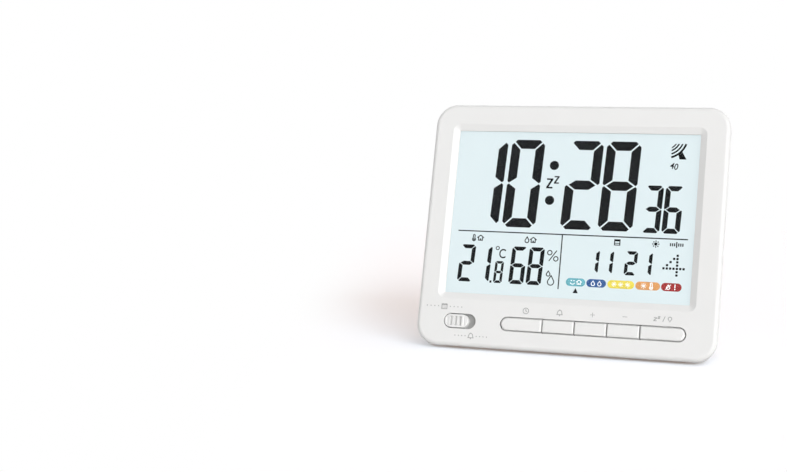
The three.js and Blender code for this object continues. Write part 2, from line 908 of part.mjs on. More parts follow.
function boardParts() {
  const chip = centred(buzzerX, buzzerY + chipAboveBuzzer, chipSize, chipSize);
  const sensor = centred(ventX, ventY, sensorWidth, sensorHeight);
  const rear = boardBack - gap;
  const crystal = turnedAlongX(
    [
      [0, 0],
      [0, crystalRadius],
      [crystalLength, crystalRadius],
      [crystalLength, 0],
    ],
    buzzerX - crystalLength / 2,
    chip.y0 - crystalRadius - crystalToChip,
    rear - crystalRadius,
  );
  return [
    named("main_board", mainBoard(), "boardGreen"),
    named("clock_chip", block(chip, rear - chipHeight, rear), "darkPlastic"),
    named("quartz_crystal", crystal, "steel"),
    named("climate_sensor", slab(sensor, layerCorner, rear - sensorDepth, rear), "milky"),
  ];
}

function resetParts() {
  const back = boardBack - gap;
  const front = back - tactHeight;
  const tip = front - plungerReach;
  const plunger = bar(resetX, resetY, plungerRadius, tip, back - keyTravel - 2 * gap);
  const key = bar(resetX, resetY, resetRadius, -caseDepth + resetSunk, tip - gap);
  return [
    named("reset_switch", tactCase(resetX, resetY, back, front), "darkPlastic"),
    named("reset_plunger", plunger, "steel"),
    named("reset_key", key, "shutterGrey"),
  ];
}

function keyParts() {
  const parts = [];
  keyNames.forEach((name, i) => {
    const x = keyMiddle(i);
    const plungerBack = tactBack + keyTravel + 2 * gap;
    parts.push(named(name, keyCap(i), "whiteShell"));
    const plunger = bar(x, controlAxis, plungerRadius, plungerBack, plungerFront);
    parts.push(named(`${name}_plunger`, plunger, "darkPlastic"));
    const body = tactCase(x, controlAxis, tactBack, tactFront);
    parts.push(named(`${name}_switch`, body, "darkPlastic"));
  });
  return parts;
}

function slideParts() {
  return [
    named("slide_knob", slideKnob(), "whiteShell"),
    named("slide_shutter", slideShutter(), "shutterGrey"),
    named("slide_switch_case", slideSwitchCase(), "steel"),
    named("slide_switch_lever", slideLever(), "darkPlastic"),
  ];
}

function powerParts() {
  const upper = bayMiddle + cellSpacing / 2;
  const lower = bayMiddle - cellSpacing / 2;
  const plate = 2 * (springRadius + contactMargin);
  return [
    named("upper_cell", cell(upper, 1), "cellJacket"),
    named("lower_cell", cell(lower, -1), "cellJacket"),
    named("upper_spring", cellSpring(upper, 1), "steel"),
    named("lower_spring", cellSpring(lower, -1), "steel"),
    named("link_contact", contactPlate(1, bayMiddle, cellSpacing + plate), "steel"),
    named("negative_contact", contactPlate(-1, upper, plate), "steel"),
    named("positive_contact", contactPlate(-1, lower, plate), "steel"),
  ];
}

function antennaParts() {
  const y = antennaHeight();
  const rod = axle(-rodLength / 2, rodLength / 2, y, -rodDepth, rodRadius);
  const outer = axle(-coilLength / 2, coilLength / 2, y, -rodDepth, rodRadius + gap + coilThickness);
  const bore = axle(-coilLength, coilLength, y, -rodDepth, rodRadius + gap);
  return [
    named("antenna_rod", rod, "ferrite"),
    named("antenna_coil", cut(outer, bore), "copper"),
  ];
}

function buzzer() {
  const back = backInside + gap;
  const disc = bar(buzzerX, buzzerY, buzzerRadius, back, back + buzzerHeight);
  return named("buzzer", disc, "darkPlastic");
}

function screwParts() {
  const parts = casePosts.map(([place, x, y]) => {
    const head = -postReach - 2 * gap - wall - headHeight;
    return named(`case_screw_${place}`, flipped(x, y, head, screwLength), "steel");
  });
  boardPosts.forEach(([place, x, y]) => {
    const head = boardBack - gap - headHeight;
    parts.push(named(`board_screw_${place}`, flipped(x, y, head, boardScrewLength), "steel"));
  });
  return parts;
}

// A screw with its head at the back, driven towards the face
function flipped(x, y, headBack, length) {
  return screwAlongZ(x, y, headBack + headHeight, length);
}

function frontFeet() {
  const y = -coverFront / leanCosine + frontFootWidth / 2 + frontFootSetback;
  return [-1, 1].map((side) => {
    const area = centred((side * frontFootSpacing) / 2, y, frontFootLength, frontFootWidth);
    const name = side < 0 ? "front_foot_left" : "front_foot_right";
    return named(name, slab(area, frontFootCorner, 0, footThickness), "rubberGrey");
  });
}

// All that leans back with the face
const leaning = new THREE.Group();
leaning.rotation.x = Math.PI / 2 - leanAngle;
leaning.position.z = groupHeight;
leaning.add(
  ...caseParts(),
  ...displayParts(),
  ...boardParts(),
  ...resetParts(),
  ...keyParts(),
  ...slideParts(),
  ...powerParts(),
  ...antennaParts(),
  buzzer(),
  ...screwParts(),
);

// The stand turns about its pin, which runs through it into both sides of the recess
const standGroup = new THREE.Group();
standGroup.position.set(0, hingeHeight, -pinDepth);
standGroup.rotation.x = THREE.MathUtils.degToRad(standOpen);
standGroup.add(named("stand", standLeg(), "whiteShell"));
const pinHalf = standWidth / 2 + standSide + recessWall;
leaning.add(standGroup);
leaning.add(named("stand_pin", axle(-pinHalf, pinHalf, hingeHeight, -pinDepth, pinRadius), "steel"));

// The soles lie flat on the table
const sole = named("stand_sole", standSole(), "rubberGrey");
sole.position.y = hingeHeight * leanSine + pinDepth * leanCosine;

const clock = new THREE.Group();
clock.add(leaning, sole, ...frontFeet());

// The origin is the middle of the bottom of the clock's box
clock.updateMatrixWorld(true);
const bounds = new THREE.Box3().setFromObject(clock, true);
clock.position.y = -(bounds.min.y + bounds.max.y) / 2;

export default clock;
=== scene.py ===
import math

import bmesh
import bpy
from mathutils import Matrix, Vector


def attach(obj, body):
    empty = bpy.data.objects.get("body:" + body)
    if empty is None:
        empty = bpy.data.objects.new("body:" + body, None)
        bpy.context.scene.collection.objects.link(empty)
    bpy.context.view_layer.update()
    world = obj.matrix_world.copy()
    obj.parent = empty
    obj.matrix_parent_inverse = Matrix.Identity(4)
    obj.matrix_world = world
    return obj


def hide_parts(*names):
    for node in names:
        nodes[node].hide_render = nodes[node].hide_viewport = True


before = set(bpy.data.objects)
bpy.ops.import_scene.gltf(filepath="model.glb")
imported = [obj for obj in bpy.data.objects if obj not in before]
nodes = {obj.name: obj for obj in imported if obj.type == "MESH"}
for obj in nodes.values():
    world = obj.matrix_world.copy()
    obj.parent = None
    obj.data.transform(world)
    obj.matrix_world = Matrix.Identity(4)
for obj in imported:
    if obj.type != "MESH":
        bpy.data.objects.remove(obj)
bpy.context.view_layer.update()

mm = 0.001
leanAngle = math.radians(17.45)
# The face's own space: x to the right, y up the face, z out of it, with the face at z = 0
faceFoot = (0, -28.8675, 1.7918)
faceSpace = Matrix.Translation([c * mm for c in faceFoot]) @ Matrix.Rotation(
    math.pi / 2 - leanAngle, 4, "X"
)
worldSpace = Matrix.Identity(4)


# Camera

camera = {
    "place": (0.13336, -0.60765, 0.12317),
    "turn": (83.084, 0, 19.771),
    "lens": 64.879,
    "sensor": 36,
    "nearest": 0.01,
}


def makeCamera():
    turn = [math.radians(a) for a in camera["turn"]]
    bpy.ops.object.camera_add(location=camera["place"], rotation=turn)
    made = bpy.context.object
    made.name = "desk_camera"
    made.data.lens = camera["lens"]
    made.data.sensor_width = camera["sensor"]
    made.data.clip_start = camera["nearest"]
    bpy.context.scene.camera = made


makeCamera()
print("camera set")


# Steps that the materials and the world share


def fill(tree, node, inputs):
    # A number or colour is set on its socket, and another node's output is linked to it
    for label, value in inputs.items():
        if isinstance(value, bpy.types.NodeSocket):
            tree.links.new(value, node.inputs[label])
        else:
            node.inputs[label].default_value = value


def addNode(tree, kind, inputs=None, **settings):
    node = tree.nodes.new("ShaderNode" + kind)
    for label, value in settings.items():
        setattr(node, label, value)
    fill(tree, node, inputs or {})
    return node


def addMath(tree, kind, first, second):
    return addNode(tree, "Math", {0: first, 1: second}, operation=kind).outputs[0]


def scaled(tree, colour, by):
    return addNode(tree, "VectorMath", {0: colour, "Scale": by}, operation="SCALE").outputs[0]


def blended(tree, share, first, second):
    inputs = {"Factor": share, "A": first, "B": second}
    return addNode(tree, "Mix", inputs, data_type="RGBA").outputs["Result"]


def mixShaders(tree, share, first, second):
    inputs = {"Fac": share, 1: first.outputs[0], 2: second.outputs[0]}
    return addNode(tree, "MixShader", inputs)


def placeIn(tree, space="Object"):
    return addNode(tree, "TexCoord").outputs[space]


def split(tree, space="Object"):
    return addNode(tree, "SeparateXYZ", {0: placeIn(tree, space)}).outputs


# Light and floor

studio = {
    "key": 3.33,
    "keyTurn": (79, 0, 45),
    "keySpread": 60,
    "room": 0.84,
    "overhead": 0.15,
    "behind": 1.45,
    "right": 0.35,
    "floorSize": 12,
    "floorLight": (0.6, 0.58, 0.57, 1),
    # The camera sees the floor lit by the lamps (floorSeen) plus a glow (floorGlow). The glow is
    # warmer, so where the lamps' light is shaded the floor turns warm, a painted tint of the shadow
    "floorSeen": (0.9, 1.14, 1.33, 1),
    "floorGlow": (0.505, 0.332, 0.232, 1),
    # How deep and how far the painted shadow in the floor's glow goes, at the contact and on the
    # side away from the key light
    "contact": 0.012,
    "paintedContactShade": 0.34,
    "shade": 0.62,
    "shadeReach": 0.2,
    "shadeSide": (0.9, -0.05, 0.42),
    "shadeSamples": 8,
    # Where the floor turns plain white: across a line at the left, and round the whole
    "fades": (
        ("DOT_PRODUCT", (-0.956, -0.294, 0), 0.084, 0.14),
        ("DISTANCE", (0, 0.06, 0), 0.35, 0.5),
    ),
}


def makeKeyLight():
    turn = [math.radians(a) for a in studio["keyTurn"]]
    bpy.ops.object.light_add(type="SUN", location=(1, -1, 0.5), rotation=turn)
    key = bpy.context.object
    key.name = "key_light"
    key.data.energy = studio["key"]
    key.data.angle = math.radians(studio["keySpread"])


def makeRoom():
    world = bpy.data.worlds.new("white_room")
    bpy.context.scene.world = world
    world.use_nodes = True
    tree = world.node_tree
    tree.nodes.clear()
    # The room is brightest behind, dimmer overhead and to the right
    sides = split(tree, "Generated")
    strength = studio["room"]
    for axis, far in (("Z", "overhead"), ("Y", "behind"), ("X", "right")):
        inputs = {"Value": sides[axis], "From Max": 1, "To Min": 1, "To Max": studio[far]}
        fade = addNode(tree, "MapRange", inputs)
        strength = addMath(tree, "MULTIPLY", fade.outputs[0], strength)
    white = (1, 1, 1, 1)
    lit = addNode(tree, "Background", {"Color": white, "Strength": strength})
    seen = addNode(tree, "Background", {"Color": white, "Strength": 1})
    showEither(tree, "OutputWorld", lit, seen)


def makeFloor():
    bpy.ops.mesh.primitive_plane_add(size=studio["floorSize"], location=(0, 0, 0))
    floor = bpy.context.object
    floor.name = "white_floor"
    paint = bpy.data.materials.new("white_floor")
    paint.use_nodes = True
    tree = paint.node_tree
    tree.nodes.clear()
    matt = addNode(tree, "BsdfDiffuse", {"Color": studio["floorLight"]})
    shown = addNode(tree, "BsdfDiffuse", {"Color": studio["floorSeen"]})
    # Painted shadow: the glow is darkened where something stands on the floor, and on the side away
    # from the light
    paintedContactShade = floorShade(tree, studio["contact"], studio["paintedContactShade"])
    paintedSideShade = floorShade(tree, studio["shadeReach"], studio["shade"], studio["shadeSide"])
    shade = addMath(tree, "MULTIPLY", paintedContactShade, paintedSideShade)
    glow = addNode(tree, "Emission", {"Color": studio["floorGlow"], "Strength": shade})
    both = addNode(tree, "AddShader", {0: shown.outputs[0], 1: glow.outputs[0]})
    fading = mixShaders(tree, floorFade(tree), both, addNode(tree, "Emission"))
    showEither(tree, "OutputMaterial", matt, fading)
    floor.data.materials.append(paint)


def floorShade(tree, reach, depth, side=None):
    # Painted shadow for the floor's glow: 1 in the open, less by up to depth where something near
    # hides the sky, or one side of it
    samples = studio["shadeSamples"]
    hidden = addNode(tree, "AmbientOcclusion", {"Distance": reach}, samples=samples)
    if side:
        facing = addNode(tree, "CombineXYZ", dict(zip("XYZ", Vector(side).normalized())))
        fill(tree, hidden, {"Normal": facing.outputs[0]})
    share = addMath(tree, "MULTIPLY", hidden.outputs["AO"], depth)
    return addMath(tree, "ADD", share, 1 - depth)


def floorFade(tree):
    # 0 round the clock, 1 where the floor is plain white
    white = 0
    for kind, point, start, end in studio["fades"]:
        away = addNode(tree, "VectorMath", {0: placeIn(tree), 1: point}, operation=kind)
        inputs = {"Value": away.outputs["Value"], "From Min": start, "From Max": end}
        fade = addNode(tree, "MapRange", inputs, interpolation_type="SMOOTHSTEP")
        white = addMath(tree, "MAXIMUM", fade.outputs[0], white)
    return white


def showEither(tree, output, lit, seen):
    # seen is for the camera and for what gloss and glass show, lit for the light that falls
    # on things, also where that light comes through the clear front
    path = addNode(tree, "LightPath").outputs
    direct = addMath(tree, "MAXIMUM", path["Is Camera Ray"], path["Is Glossy Ray"])
    through = addMath(tree, "MAXIMUM", direct, path["Is Transmission Ray"])
    early = addMath(tree, "LESS_THAN", path["Diffuse Depth"], 0.5)
    share = addMath(tree, "MULTIPLY", through, early)
    mix = mixShaders(tree, share, lit, seen)
    addNode(tree, output, {"Surface": mix.outputs[0]})


makeKeyLight()
makeRoom()
makeFloor()
bpy.context.scene.view_settings.view_transform = "Standard"
print("studio lit")


# Shared effects and finishes


def addSocket(group, label, side):
    kind = "NodeSocketColor" if label.endswith("Colour") else "NodeSocketFloat"
    return group.interface.new_socket(label, in_out=side, socket_type=kind)


def newGroup(name, inputs, outputs):
    group = bpy.data.node_groups.new(name, "ShaderNodeTree")
    for label, value in inputs.items():
        addSocket(group, label, "INPUT").default_value = value
    for label in outputs:
        addSocket(group, label, "OUTPUT")
    start = group.nodes.new("NodeGroupInput")
    end = group.nodes.new("NodeGroupOutput")
    return group, start.outputs, end


def addNoise(tree, scale, detail):
    inputs = {"Vector": placeIn(tree), "Scale": scale, "Detail": detail}
    return addNode(tree, "TexNoise", inputs).outputs["Fac"]


def makeMouldGrain():
    # Spark-eroded grain, a faint cloudiness of the colour, and gloss that varies with it
    inputs = {
        "Colour": (0.8, 0.8, 0.8, 1),
        "Cloud": 0.03,
        "Cloud Scale": 55,
        "Grain Scale": 4200,
        "Roughness": 0.4,
        "Sheen Change": 0.1,
    }
    group, start, end = newGroup("mouldGrain", inputs, ("Colour", "Roughness", "Height"))
    cloud = addMath(group, "SUBTRACT", addNoise(group, start["Cloud Scale"], 3), 0.5)
    bright = addMath(group, "ADD", addMath(group, "MULTIPLY", cloud, start["Cloud"]), 1)
    change = addMath(group, "MULTIPLY", cloud, start["Sheen Change"])
    fill(group, end, {
        "Colour": scaled(group, start["Colour"], bright),
        "Roughness": addMath(group, "ADD", change, start["Roughness"]),
        "Height": addNoise(group, start["Grain Scale"], 4),
    })
    return group


def makeStripes():
    # Fine bands across x: wire laid turn by turn, or layers of rubber
    inputs = {"First Colour": (0, 0, 0, 1), "Second Colour": (1, 1, 1, 1), "Bands": 3000}
    group, start, end = newGroup("fineStripes", inputs, ("Colour", "Height"))
    bands = addMath(group, "MULTIPLY", split(group)["X"], start["Bands"])
    band = addMath(group, "PINGPONG", bands, 1)
    fill(group, end, {
        "Colour": blended(group, band, start["First Colour"], start["Second Colour"]),
        "Height": addMath(group, "SUBTRACT", 1, band),
    })
    return group


mouldGrain = makeMouldGrain()
fineStripes = makeStripes()


def addBump(tree, distance, strength, height):
    return addNode(tree, "Bump", {"Distance": distance, "Strength": strength, "Height": height})


def addGrain(tree, shader, colour, cloud, roughness, strength=1, others=None):
    inputs = {"Colour": (*colour, 1), "Cloud": cloud, "Roughness": roughness, **(others or {})}
    grain = addNode(tree, "Group", inputs, node_tree=mouldGrain).outputs
    bump = addBump(tree, 0.00002, strength, grain["Height"])
    fill(tree, shader, {
        "Base Color": grain["Colour"],
        "Roughness": grain["Roughness"],
        "Normal": bump.outputs[0],
    })
    return grain["Colour"], bump


def mixPlastic(tree, shader, colour, roughness, grain=0.25, cloud=0.03, gloss=1.5):
    addGrain(tree, shader, colour, cloud, roughness, grain)
    fill(tree, shader, {"IOR": gloss})


def mixMetal(tree, shader, colour, roughness):
    addGrain(tree, shader, colour, 0.2, roughness, 0.3, {"Sheen Change": 0.3})
    fill(tree, shader, {"Metallic": 1})


def mixStripes(tree, shader, first, second, bands, roughness, metal):
    values = {"First Colour": (*first, 1), "Second Colour": (*second, 1), "Bands": bands}
    stripes = addNode(tree, "Group", values, node_tree=fineStripes).outputs
    fill(tree, shader, {
        "Base Color": stripes["Colour"],
        "Normal": addBump(tree, 0.0001, 0.6, stripes["Height"]).outputs[0],
        "Roughness": roughness,
        "Metallic": metal,
    })


def mixDisplay(tree, shader):
    # Display: the same pale blue by reflection and by its own glow. The glow stands in for the
    # backlight and is also painted light: it fills the shade that the window's lip would cast on it,
    # so only a small share is left to reflection
    scales = {"Cloud Scale": 20, "Grain Scale": 9000}
    colour = addGrain(tree, shader, (0.775, 0.887, 0.915), 0.015, 0.3, 1, scales)[0]
    fill(tree, shader, {
        "Base Color": scaled(tree, colour, 0.06),
        "Emission Color": colour,
        "Emission Strength": 0.87,
    })


def mixClear(tree, shader):
    # Clear to the light that falls on what is behind it
    addGrain(tree, shader, (1, 1, 1), 0.004, 0.04, 0.02)
    fill(tree, shader, {"Transmission Weight": 1, "IOR": 1.12})
    shadow = addNode(tree, "LightPath").outputs["Is Shadow Ray"]
    mix = mixShaders(tree, shadow, shader, addNode(tree, "BsdfTransparent"))
    fill(tree, tree.nodes["Material Output"], {"Surface": mix.outputs[0]})


def mixBoard(tree, shader):
    # Solder mask, lighter over the copper tracks that run between the joints
    colour, bump = addGrain(tree, shader, (0.02, 0.13, 0.05), 0.15, 0.32)
    inputs = {"Vector": placeIn(tree), "Scale": 160}
    tracks = addNode(tree, "TexVoronoi", inputs, distance="MANHATTAN", feature="F1")
    rings = addMath(tree, "MULTIPLY", tracks.outputs["Distance"], 9)
    copper = addMath(tree, "GREATER_THAN", addMath(tree, "PINGPONG", rings, 1), 0.62)
    fill(tree, shader, {"Base Color": blended(tree, copper, colour, (0.06, 0.27, 0.1, 1))})
    fill(tree, bump, {"Height": copper})


def mixJacket(tree, shader):
    # Printed film: dark ends and a pale body
    colour = addGrain(tree, shader, (0.62, 0.64, 0.66), 0.08, 0.3)[0]
    along = split(tree)["X"]
    for side, edge in (("GREATER_THAN", 0.012), ("LESS_THAN", -0.012)):
        colour = blended(tree, addMath(tree, side, along, edge), colour, (0.08, 0.15, 0.25, 1))
    fill(tree, shader, {"Base Color": colour})


fieldInk = (0.55, 0.05, 0.08, 1.15)
looks = {
    # colour, roughness, depth of the grain, cloudiness, index of refraction
    mixPlastic: {
        "whiteShell": ((0.865, 0.865, 0.857), 0.42),
        "whiteKey": ((0.87, 0.87, 0.862), 0.34, 0.15),
        # The slide's shutter: its grey is painted shade, standing in for the shade in the slot
        # beside the knob
        "shutterGrey": ((0.42, 0.42, 0.415), 0.5),
        "rubber": ((0.26, 0.26, 0.255), 0.8, 0.6, 0.12),
        "darkPlastic": ((0.024, 0.024, 0.026), 0.5),
        "milky": ((0.93, 0.94, 0.94), 0.35, 0.1),
        "digitInk": ((0.009, 0.01, 0.011), 0.6, 0.05, 0.2, 1.1),
        "whiteInk": ((0.88, 0.9, 0.9), 0.55, 0.05, 0.05, 1.15),
        "labelInk": ((0.42, 0.42, 0.42), 0.6, 0.1, 0.3),
        "teal": ((0.13, 0.37, 0.43), *fieldInk),
        "blue": ((0.042, 0.1, 0.255), *fieldInk),
        "yellow": ((0.67, 0.56, 0.08), *fieldInk),
        "orange": ((0.57, 0.275, 0.1), *fieldInk),
        "red": ((0.3, 0.036, 0.037), *fieldInk),
        "whiteFilm": ((0.88, 0.88, 0.87), 0.45, 0.3, 0.05),
        "holderWhite": ((0.8, 0.8, 0.79), 0.5, 0.35, 0.05),
        "lampResin": ((0.86, 0.8, 0.5), 0.3, 0.1, 0.1),
        "chipEpoxy": ((0.02, 0.02, 0.021), 0.55, 0.7, 0.3),
        "switchBlack": ((0.03, 0.03, 0.032), 0.42, 0.3, 0.15),
        "ferrite": ((0.045, 0.044, 0.046), 0.6, 1.0, 0.5),
    },
    # colour, roughness
    mixMetal: {
        "nickel": ((0.66, 0.64, 0.6), 0.24),
        "steel": ((0.56, 0.57, 0.58), 0.3),
    },
    # both colours, bands, roughness, metal or not
    mixStripes: {
        "zebraRubber": ((0.02, 0.02, 0.021), (0.5, 0.46, 0.4), 5000, 0.6, 0),
        "copperWinding": ((0.72, 0.3, 0.13), (0.3, 0.1, 0.035), 3600, 0.32, 1),
    },
    mixDisplay: {"lcdGlass": ()},
    mixClear: {"clear": ()},
    mixBoard: {"boardGreen": ()},
    mixJacket: {"cellJacket": ()},
}
finishes = {}
for mix, kind in looks.items():
    for name, look in kind.items():
        finishes[name] = bpy.data.materials.new(name)
        finishes[name].use_nodes = True
        tree = finishes[name].node_tree
        mix(tree, tree.nodes["Principled BSDF"], *look)
print("finishes mixed")



# Modelling steps that the pieces share, in millimetres

# How near two places are the same, and how far a cutting tool goes past what it cuts
same = 0.004
past = 1
# A radius over half of any slot's height: its ends become round, but for this small gap
fullRound = 9
roundGap = 0.002


def pickOnly(*pieces):
    bpy.ops.object.select_all(action="DESELECT")
    for piece in pieces:
        piece.select_set(True)
    bpy.context.view_layer.objects.active = pieces[0]


def justAdded(name):
    # The new object, with its place and size gone into its mesh
    piece = bpy.context.object
    piece.name = name
    bpy.ops.object.transform_apply()
    return piece


def moved(piece, x, y, z=0, turn=(0, 0, 0)):
    pickOnly(piece)
    piece.rotation_euler = turn
    piece.location = (x * mm, y * mm, z * mm)
    bpy.ops.object.transform_apply()
    return piece


def addBlock(name, x0, x1, y0, y1, z0, z1):
    bpy.ops.mesh.primitive_cube_add(
        size=mm,
        location=((x0 + x1) / 2 * mm, (y0 + y1) / 2 * mm, (z0 + z1) / 2 * mm),
        scale=(x1 - x0, y1 - y0, z1 - z0),
    )
    return justAdded(name)


def addRod(name, x, y, z0, z1, radius, sides=32):
    bpy.ops.mesh.primitive_cylinder_add(
        vertices=sides,
        radius=radius * mm,
        depth=(z1 - z0) * mm,
        location=(x * mm, y * mm, (z0 + z1) / 2 * mm),
    )
    return justAdded(name)


def addAxle(name, x0, x1, y, z, radius, sides=40):
    return moved(addRod(name, 0, 0, x0, x1, radius, sides), 0, y, z, (0, math.pi / 2, 0))


def openEdit(piece):
    pickOnly(piece)
    bpy.ops.object.mode_set(mode="EDIT")
    bpy.ops.mesh.select_all(action="SELECT")


def closeEdit():
    bpy.ops.object.mode_set(mode="OBJECT")


def selectBy(piece, kind, test):
    # kind is VERT, EDGE or FACE; test gets the corner places in millimetres
    bpy.ops.mesh.select_mode(type=kind)
    bpy.ops.mesh.select_all(action="DESELECT")
    shape = bmesh.from_edit_mesh(piece.data)
    parts = {"VERT": shape.verts, "EDGE": shape.edges, "FACE": shape.faces}[kind]
    for part in parts:
        corners = [part] if kind == "VERT" else part.verts
        if test([corner.co / mm for corner in corners]):
            part.select_set(True)
    bmesh.update_edit_mesh(piece.data)


def near(a, b):
    return abs(a - b) < same


def allAt(axis, value):
    return lambda corners: all(near(c[axis], value) for c in corners)


def upright(corners):
    return near(corners[0].x, corners[1].x) and near(corners[0].y, corners[1].y)


def roundEdges(piece, test, radius, steps):
    openEdit(piece)
    selectBy(piece, "EDGE", test)
    bpy.ops.mesh.bevel(offset=radius * mm, segments=steps, affect="EDGES")
    closeEdit()


def roundRim(piece, z, radius, steps):
    roundEdges(piece, allAt(2, z), radius, steps)


def mergeClose():
    bpy.ops.mesh.select_all(action="SELECT")
    bpy.ops.mesh.remove_doubles(threshold=0.01 * mm)


def roundUprights(piece, radius, steps, side=0):
    # side keeps the rounding to the edges left (-1) or right (1) of the middle
    middle = sum(v.co.x for v in piece.data.vertices) / len(piece.data.vertices) / mm
    roundEdges(piece, lambda c: upright(c) and side * (c[0].x - middle) >= 0, radius, steps)
    openEdit(piece)
    mergeClose()
    closeEdit()


def roundedBlock(name, area, z0, z1, radius, steps=10):
    piece = addBlock(name, *area, z0, z1)
    roundUprights(piece, min(radius, (area[3] - area[2]) / 2 - roundGap), steps)
    return piece


def extrude(rise):
    bpy.ops.mesh.extrude_region_move(TRANSFORM_OT_translate={"value": (0, 0, rise * mm)})


def faceOut():
    bpy.ops.mesh.select_all(action="SELECT")
    bpy.ops.mesh.normals_make_consistent(inside=False)


def trim(piece, point, inward):
    openEdit(piece)
    bpy.ops.mesh.bisect(plane_co=point, plane_no=inward, use_fill=True, clear_inner=True)
    closeEdit()


def useModifier(piece, modifier):
    pickOnly(piece)
    bpy.ops.object.modifier_apply(modifier=modifier.name)


def cut(piece, *tools, kind="DIFFERENCE"):
    for tool in tools:
        step = piece.modifiers.new("combine", "BOOLEAN")
        step.operation = kind
        step.solver = "EXACT"
        step.object = tool
        useModifier(piece, step)
        bpy.data.objects.remove(tool)


def fuse(piece, *tools):
    cut(piece, *tools, kind="UNION")


def softenEdges(piece, width, angle=25, steps=3):
    step = piece.modifiers.new("soften", "BEVEL")
    step.width = width * mm
    step.segments = steps
    step.limit_method = "ANGLE"
    step.angle_limit = math.radians(angle)
    useModifier(piece, step)


def smoothOver(piece, angle):
    pickOnly(piece)
    bpy.ops.object.shade_smooth_by_angle(angle=math.radians(angle))
    step = piece.modifiers.new("even", "WEIGHTED_NORMAL")
    step.keep_sharp = True
    useModifier(piece, step)


def settle(piece, space):
    pickOnly(piece)
    piece.matrix_world = space
    bpy.ops.object.transform_apply()


def dress(piece, material, body, slot, *replaced, smooth=35, space=faceSpace):
    settle(piece, space)
    piece.data.materials.clear()
    piece.data.materials.append(finishes[material])
    if smooth:
        smoothOver(piece, smooth)
    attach(piece, body)
    if replaced:
        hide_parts(*replaced)


def grown(area, by):
    x0, x1, y0, y1 = area
    return (x0 - by, x1 + by, y0 - by, y1 + by)


# Front bezel

bezel = {
    "outline": (-65, 65, 0, 108.4),
    "corner": 9.5,
    "fillet": 2,
    "back": -7,
    "draft": 0.5,
    "wall": 2,
    "window": (-53.6, 52.7, 23.5, 96.5),
    "windowCorner": 0.3,
    "lipWidth": 2.8,
    "lipDepth": 1.2,
    "neck": 3,
    "slots": {
        "keyRow": (-27.2, 52.3, 7.7, 14.1),
        "switchSlot": (-52.45, -38.1, 7.6, 14.2),
    },
    "slotReach": (-4, 2),
    "softEdge": 0.22,
    "underside": 1.1,
    "posts": [
        # middle, radius, end: four for the cover's screws and three for the board's
        (-58.6, 101.0, 2, -12), (58.6, 101.0, 2, -12), (-58.6, 8.8, 2, -12), (58.6, 8.8, 2, -12),
        (-57.9, 17.1, 1.9, -9.5), (-32.65, 10.9, 1.9, -9.5), (57.0, 17.1, 1.9, -9.5),
    ],
    "postRoot": 0.5,
    "pilot": 1.3,
}


def windowTool():
    # A plug with the lip's slope: its top is the lip's outer edge, its neck the window
    lip, top = bezel["lipWidth"], bezel["slotReach"][1]
    area = grown(bezel["window"], lip)
    plug = roundedBlock("window_plug", area, 0, top, lip + bezel["windowCorner"], 8)
    openEdit(plug)
    selectBy(plug, "FACE", allAt(2, 0))
    bpy.ops.mesh.inset(thickness=lip * mm)
    bpy.ops.transform.translate(value=(0, 0, -bezel["lipDepth"] * mm))
    extrude(-bezel["neck"])
    closeEdit()
    return plug


def cutUnderside(piece):
    # The plane is level in the world, and stands here in the face's space
    level = (bezel["underside"] - faceFoot[2]) / math.cos(leanAngle)
    trim(piece, (0, level * mm, 0), (0, math.cos(leanAngle), math.sin(leanAngle)))


def makeBezel():
    b = bezel
    back, wall = b["back"], b["wall"]
    piece = roundedBlock("bezel_shell", b["outline"], back, 0, b["corner"], 14)
    roundRim(piece, 0, b["fillet"], 9)
    openEdit(piece)
    selectBy(piece, "VERT", allAt(2, back))
    width, height = b["outline"][1] * 2, b["outline"][3]
    bpy.ops.transform.resize(
        value=(1 - 2 * b["draft"] / width, 1 - 2 * b["draft"] / height, 1),
        center_override=(0, height / 2 * mm, back * mm),
    )
    selectBy(piece, "FACE", allAt(2, back))
    bpy.ops.mesh.inset(thickness=wall * mm)
    extrude(-back - wall)
    closeEdit()
    for x, y, radius, end in b["posts"]:
        fuse(piece, addRod("post", x, y, end, -wall + b["postRoot"], radius, 24))
        cut(piece, addRod("pilot", x, y, end - past, -wall - past, b["pilot"], 20))
    cut(piece, windowTool())
    for name, area in b["slots"].items():
        cut(piece, roundedBlock(name, area, *b["slotReach"], fullRound, 16))
    cutUnderside(piece)
    softenEdges(piece, b["softEdge"], 18)
    dress(piece, "whiteShell", "case", "white_shell", "front_bezel", smooth=30)


makeBezel()
print("bezel done")


# Keys

keys = {
    "names": ("time", "alarm", "plus", "minus", "snooze_light"),
    "edges": (-27.2, -8.7, 5.22, 19.14, 33.06, 52.3),
    "rows": (7.7, 14.1),
    "clearance": 0.5,
    "seam": 0.2,
    "proud": 0.5,
    "flange": (-3.3, -2.3),
    "flangeReach": 1.4,
    "stemHalf": 1.5,
    "stem": (-5.2, -3.1),
    "axis": 10.9,
    "rim": 0.85,
}


def makeKey(i):
    k = keys
    last = len(k["names"]) - 1
    x0 = k["edges"][i] + (k["clearance"] if i == 0 else k["seam"])
    x1 = k["edges"][i + 1] - (k["clearance"] if i == last else k["seam"])
    y0, y1 = k["rows"][0] + k["clearance"], k["rows"][1] - k["clearance"]
    name = k["names"][i] + "_key"
    piece = addBlock(name + "_cap", x0, x1, y0, y1, k["flange"][1], k["proud"])
    if i in (0, last):
        roundUprights(piece, (y1 - y0) / 2 - roundGap, 16, 1 if i else -1)
    roundRim(piece, k["proud"], k["rim"], 5)
    reach = k["flangeReach"]
    middle = ((x0 + x1) / 2,) * 2 + (k["axis"],) * 2
    fuse(
        piece,
        addBlock("flange", x0, x1, y0 - reach, y1 + reach, *k["flange"]),
        addBlock("stem", *grown(middle, k["stemHalf"]), *k["stem"]),
    )
    dress(piece, "whiteKey", name, "white_shell", name, smooth=30)


for keyNumber in range(len(keys["names"])):
    makeKey(keyNumber)
print("keys done")


# Slide switch

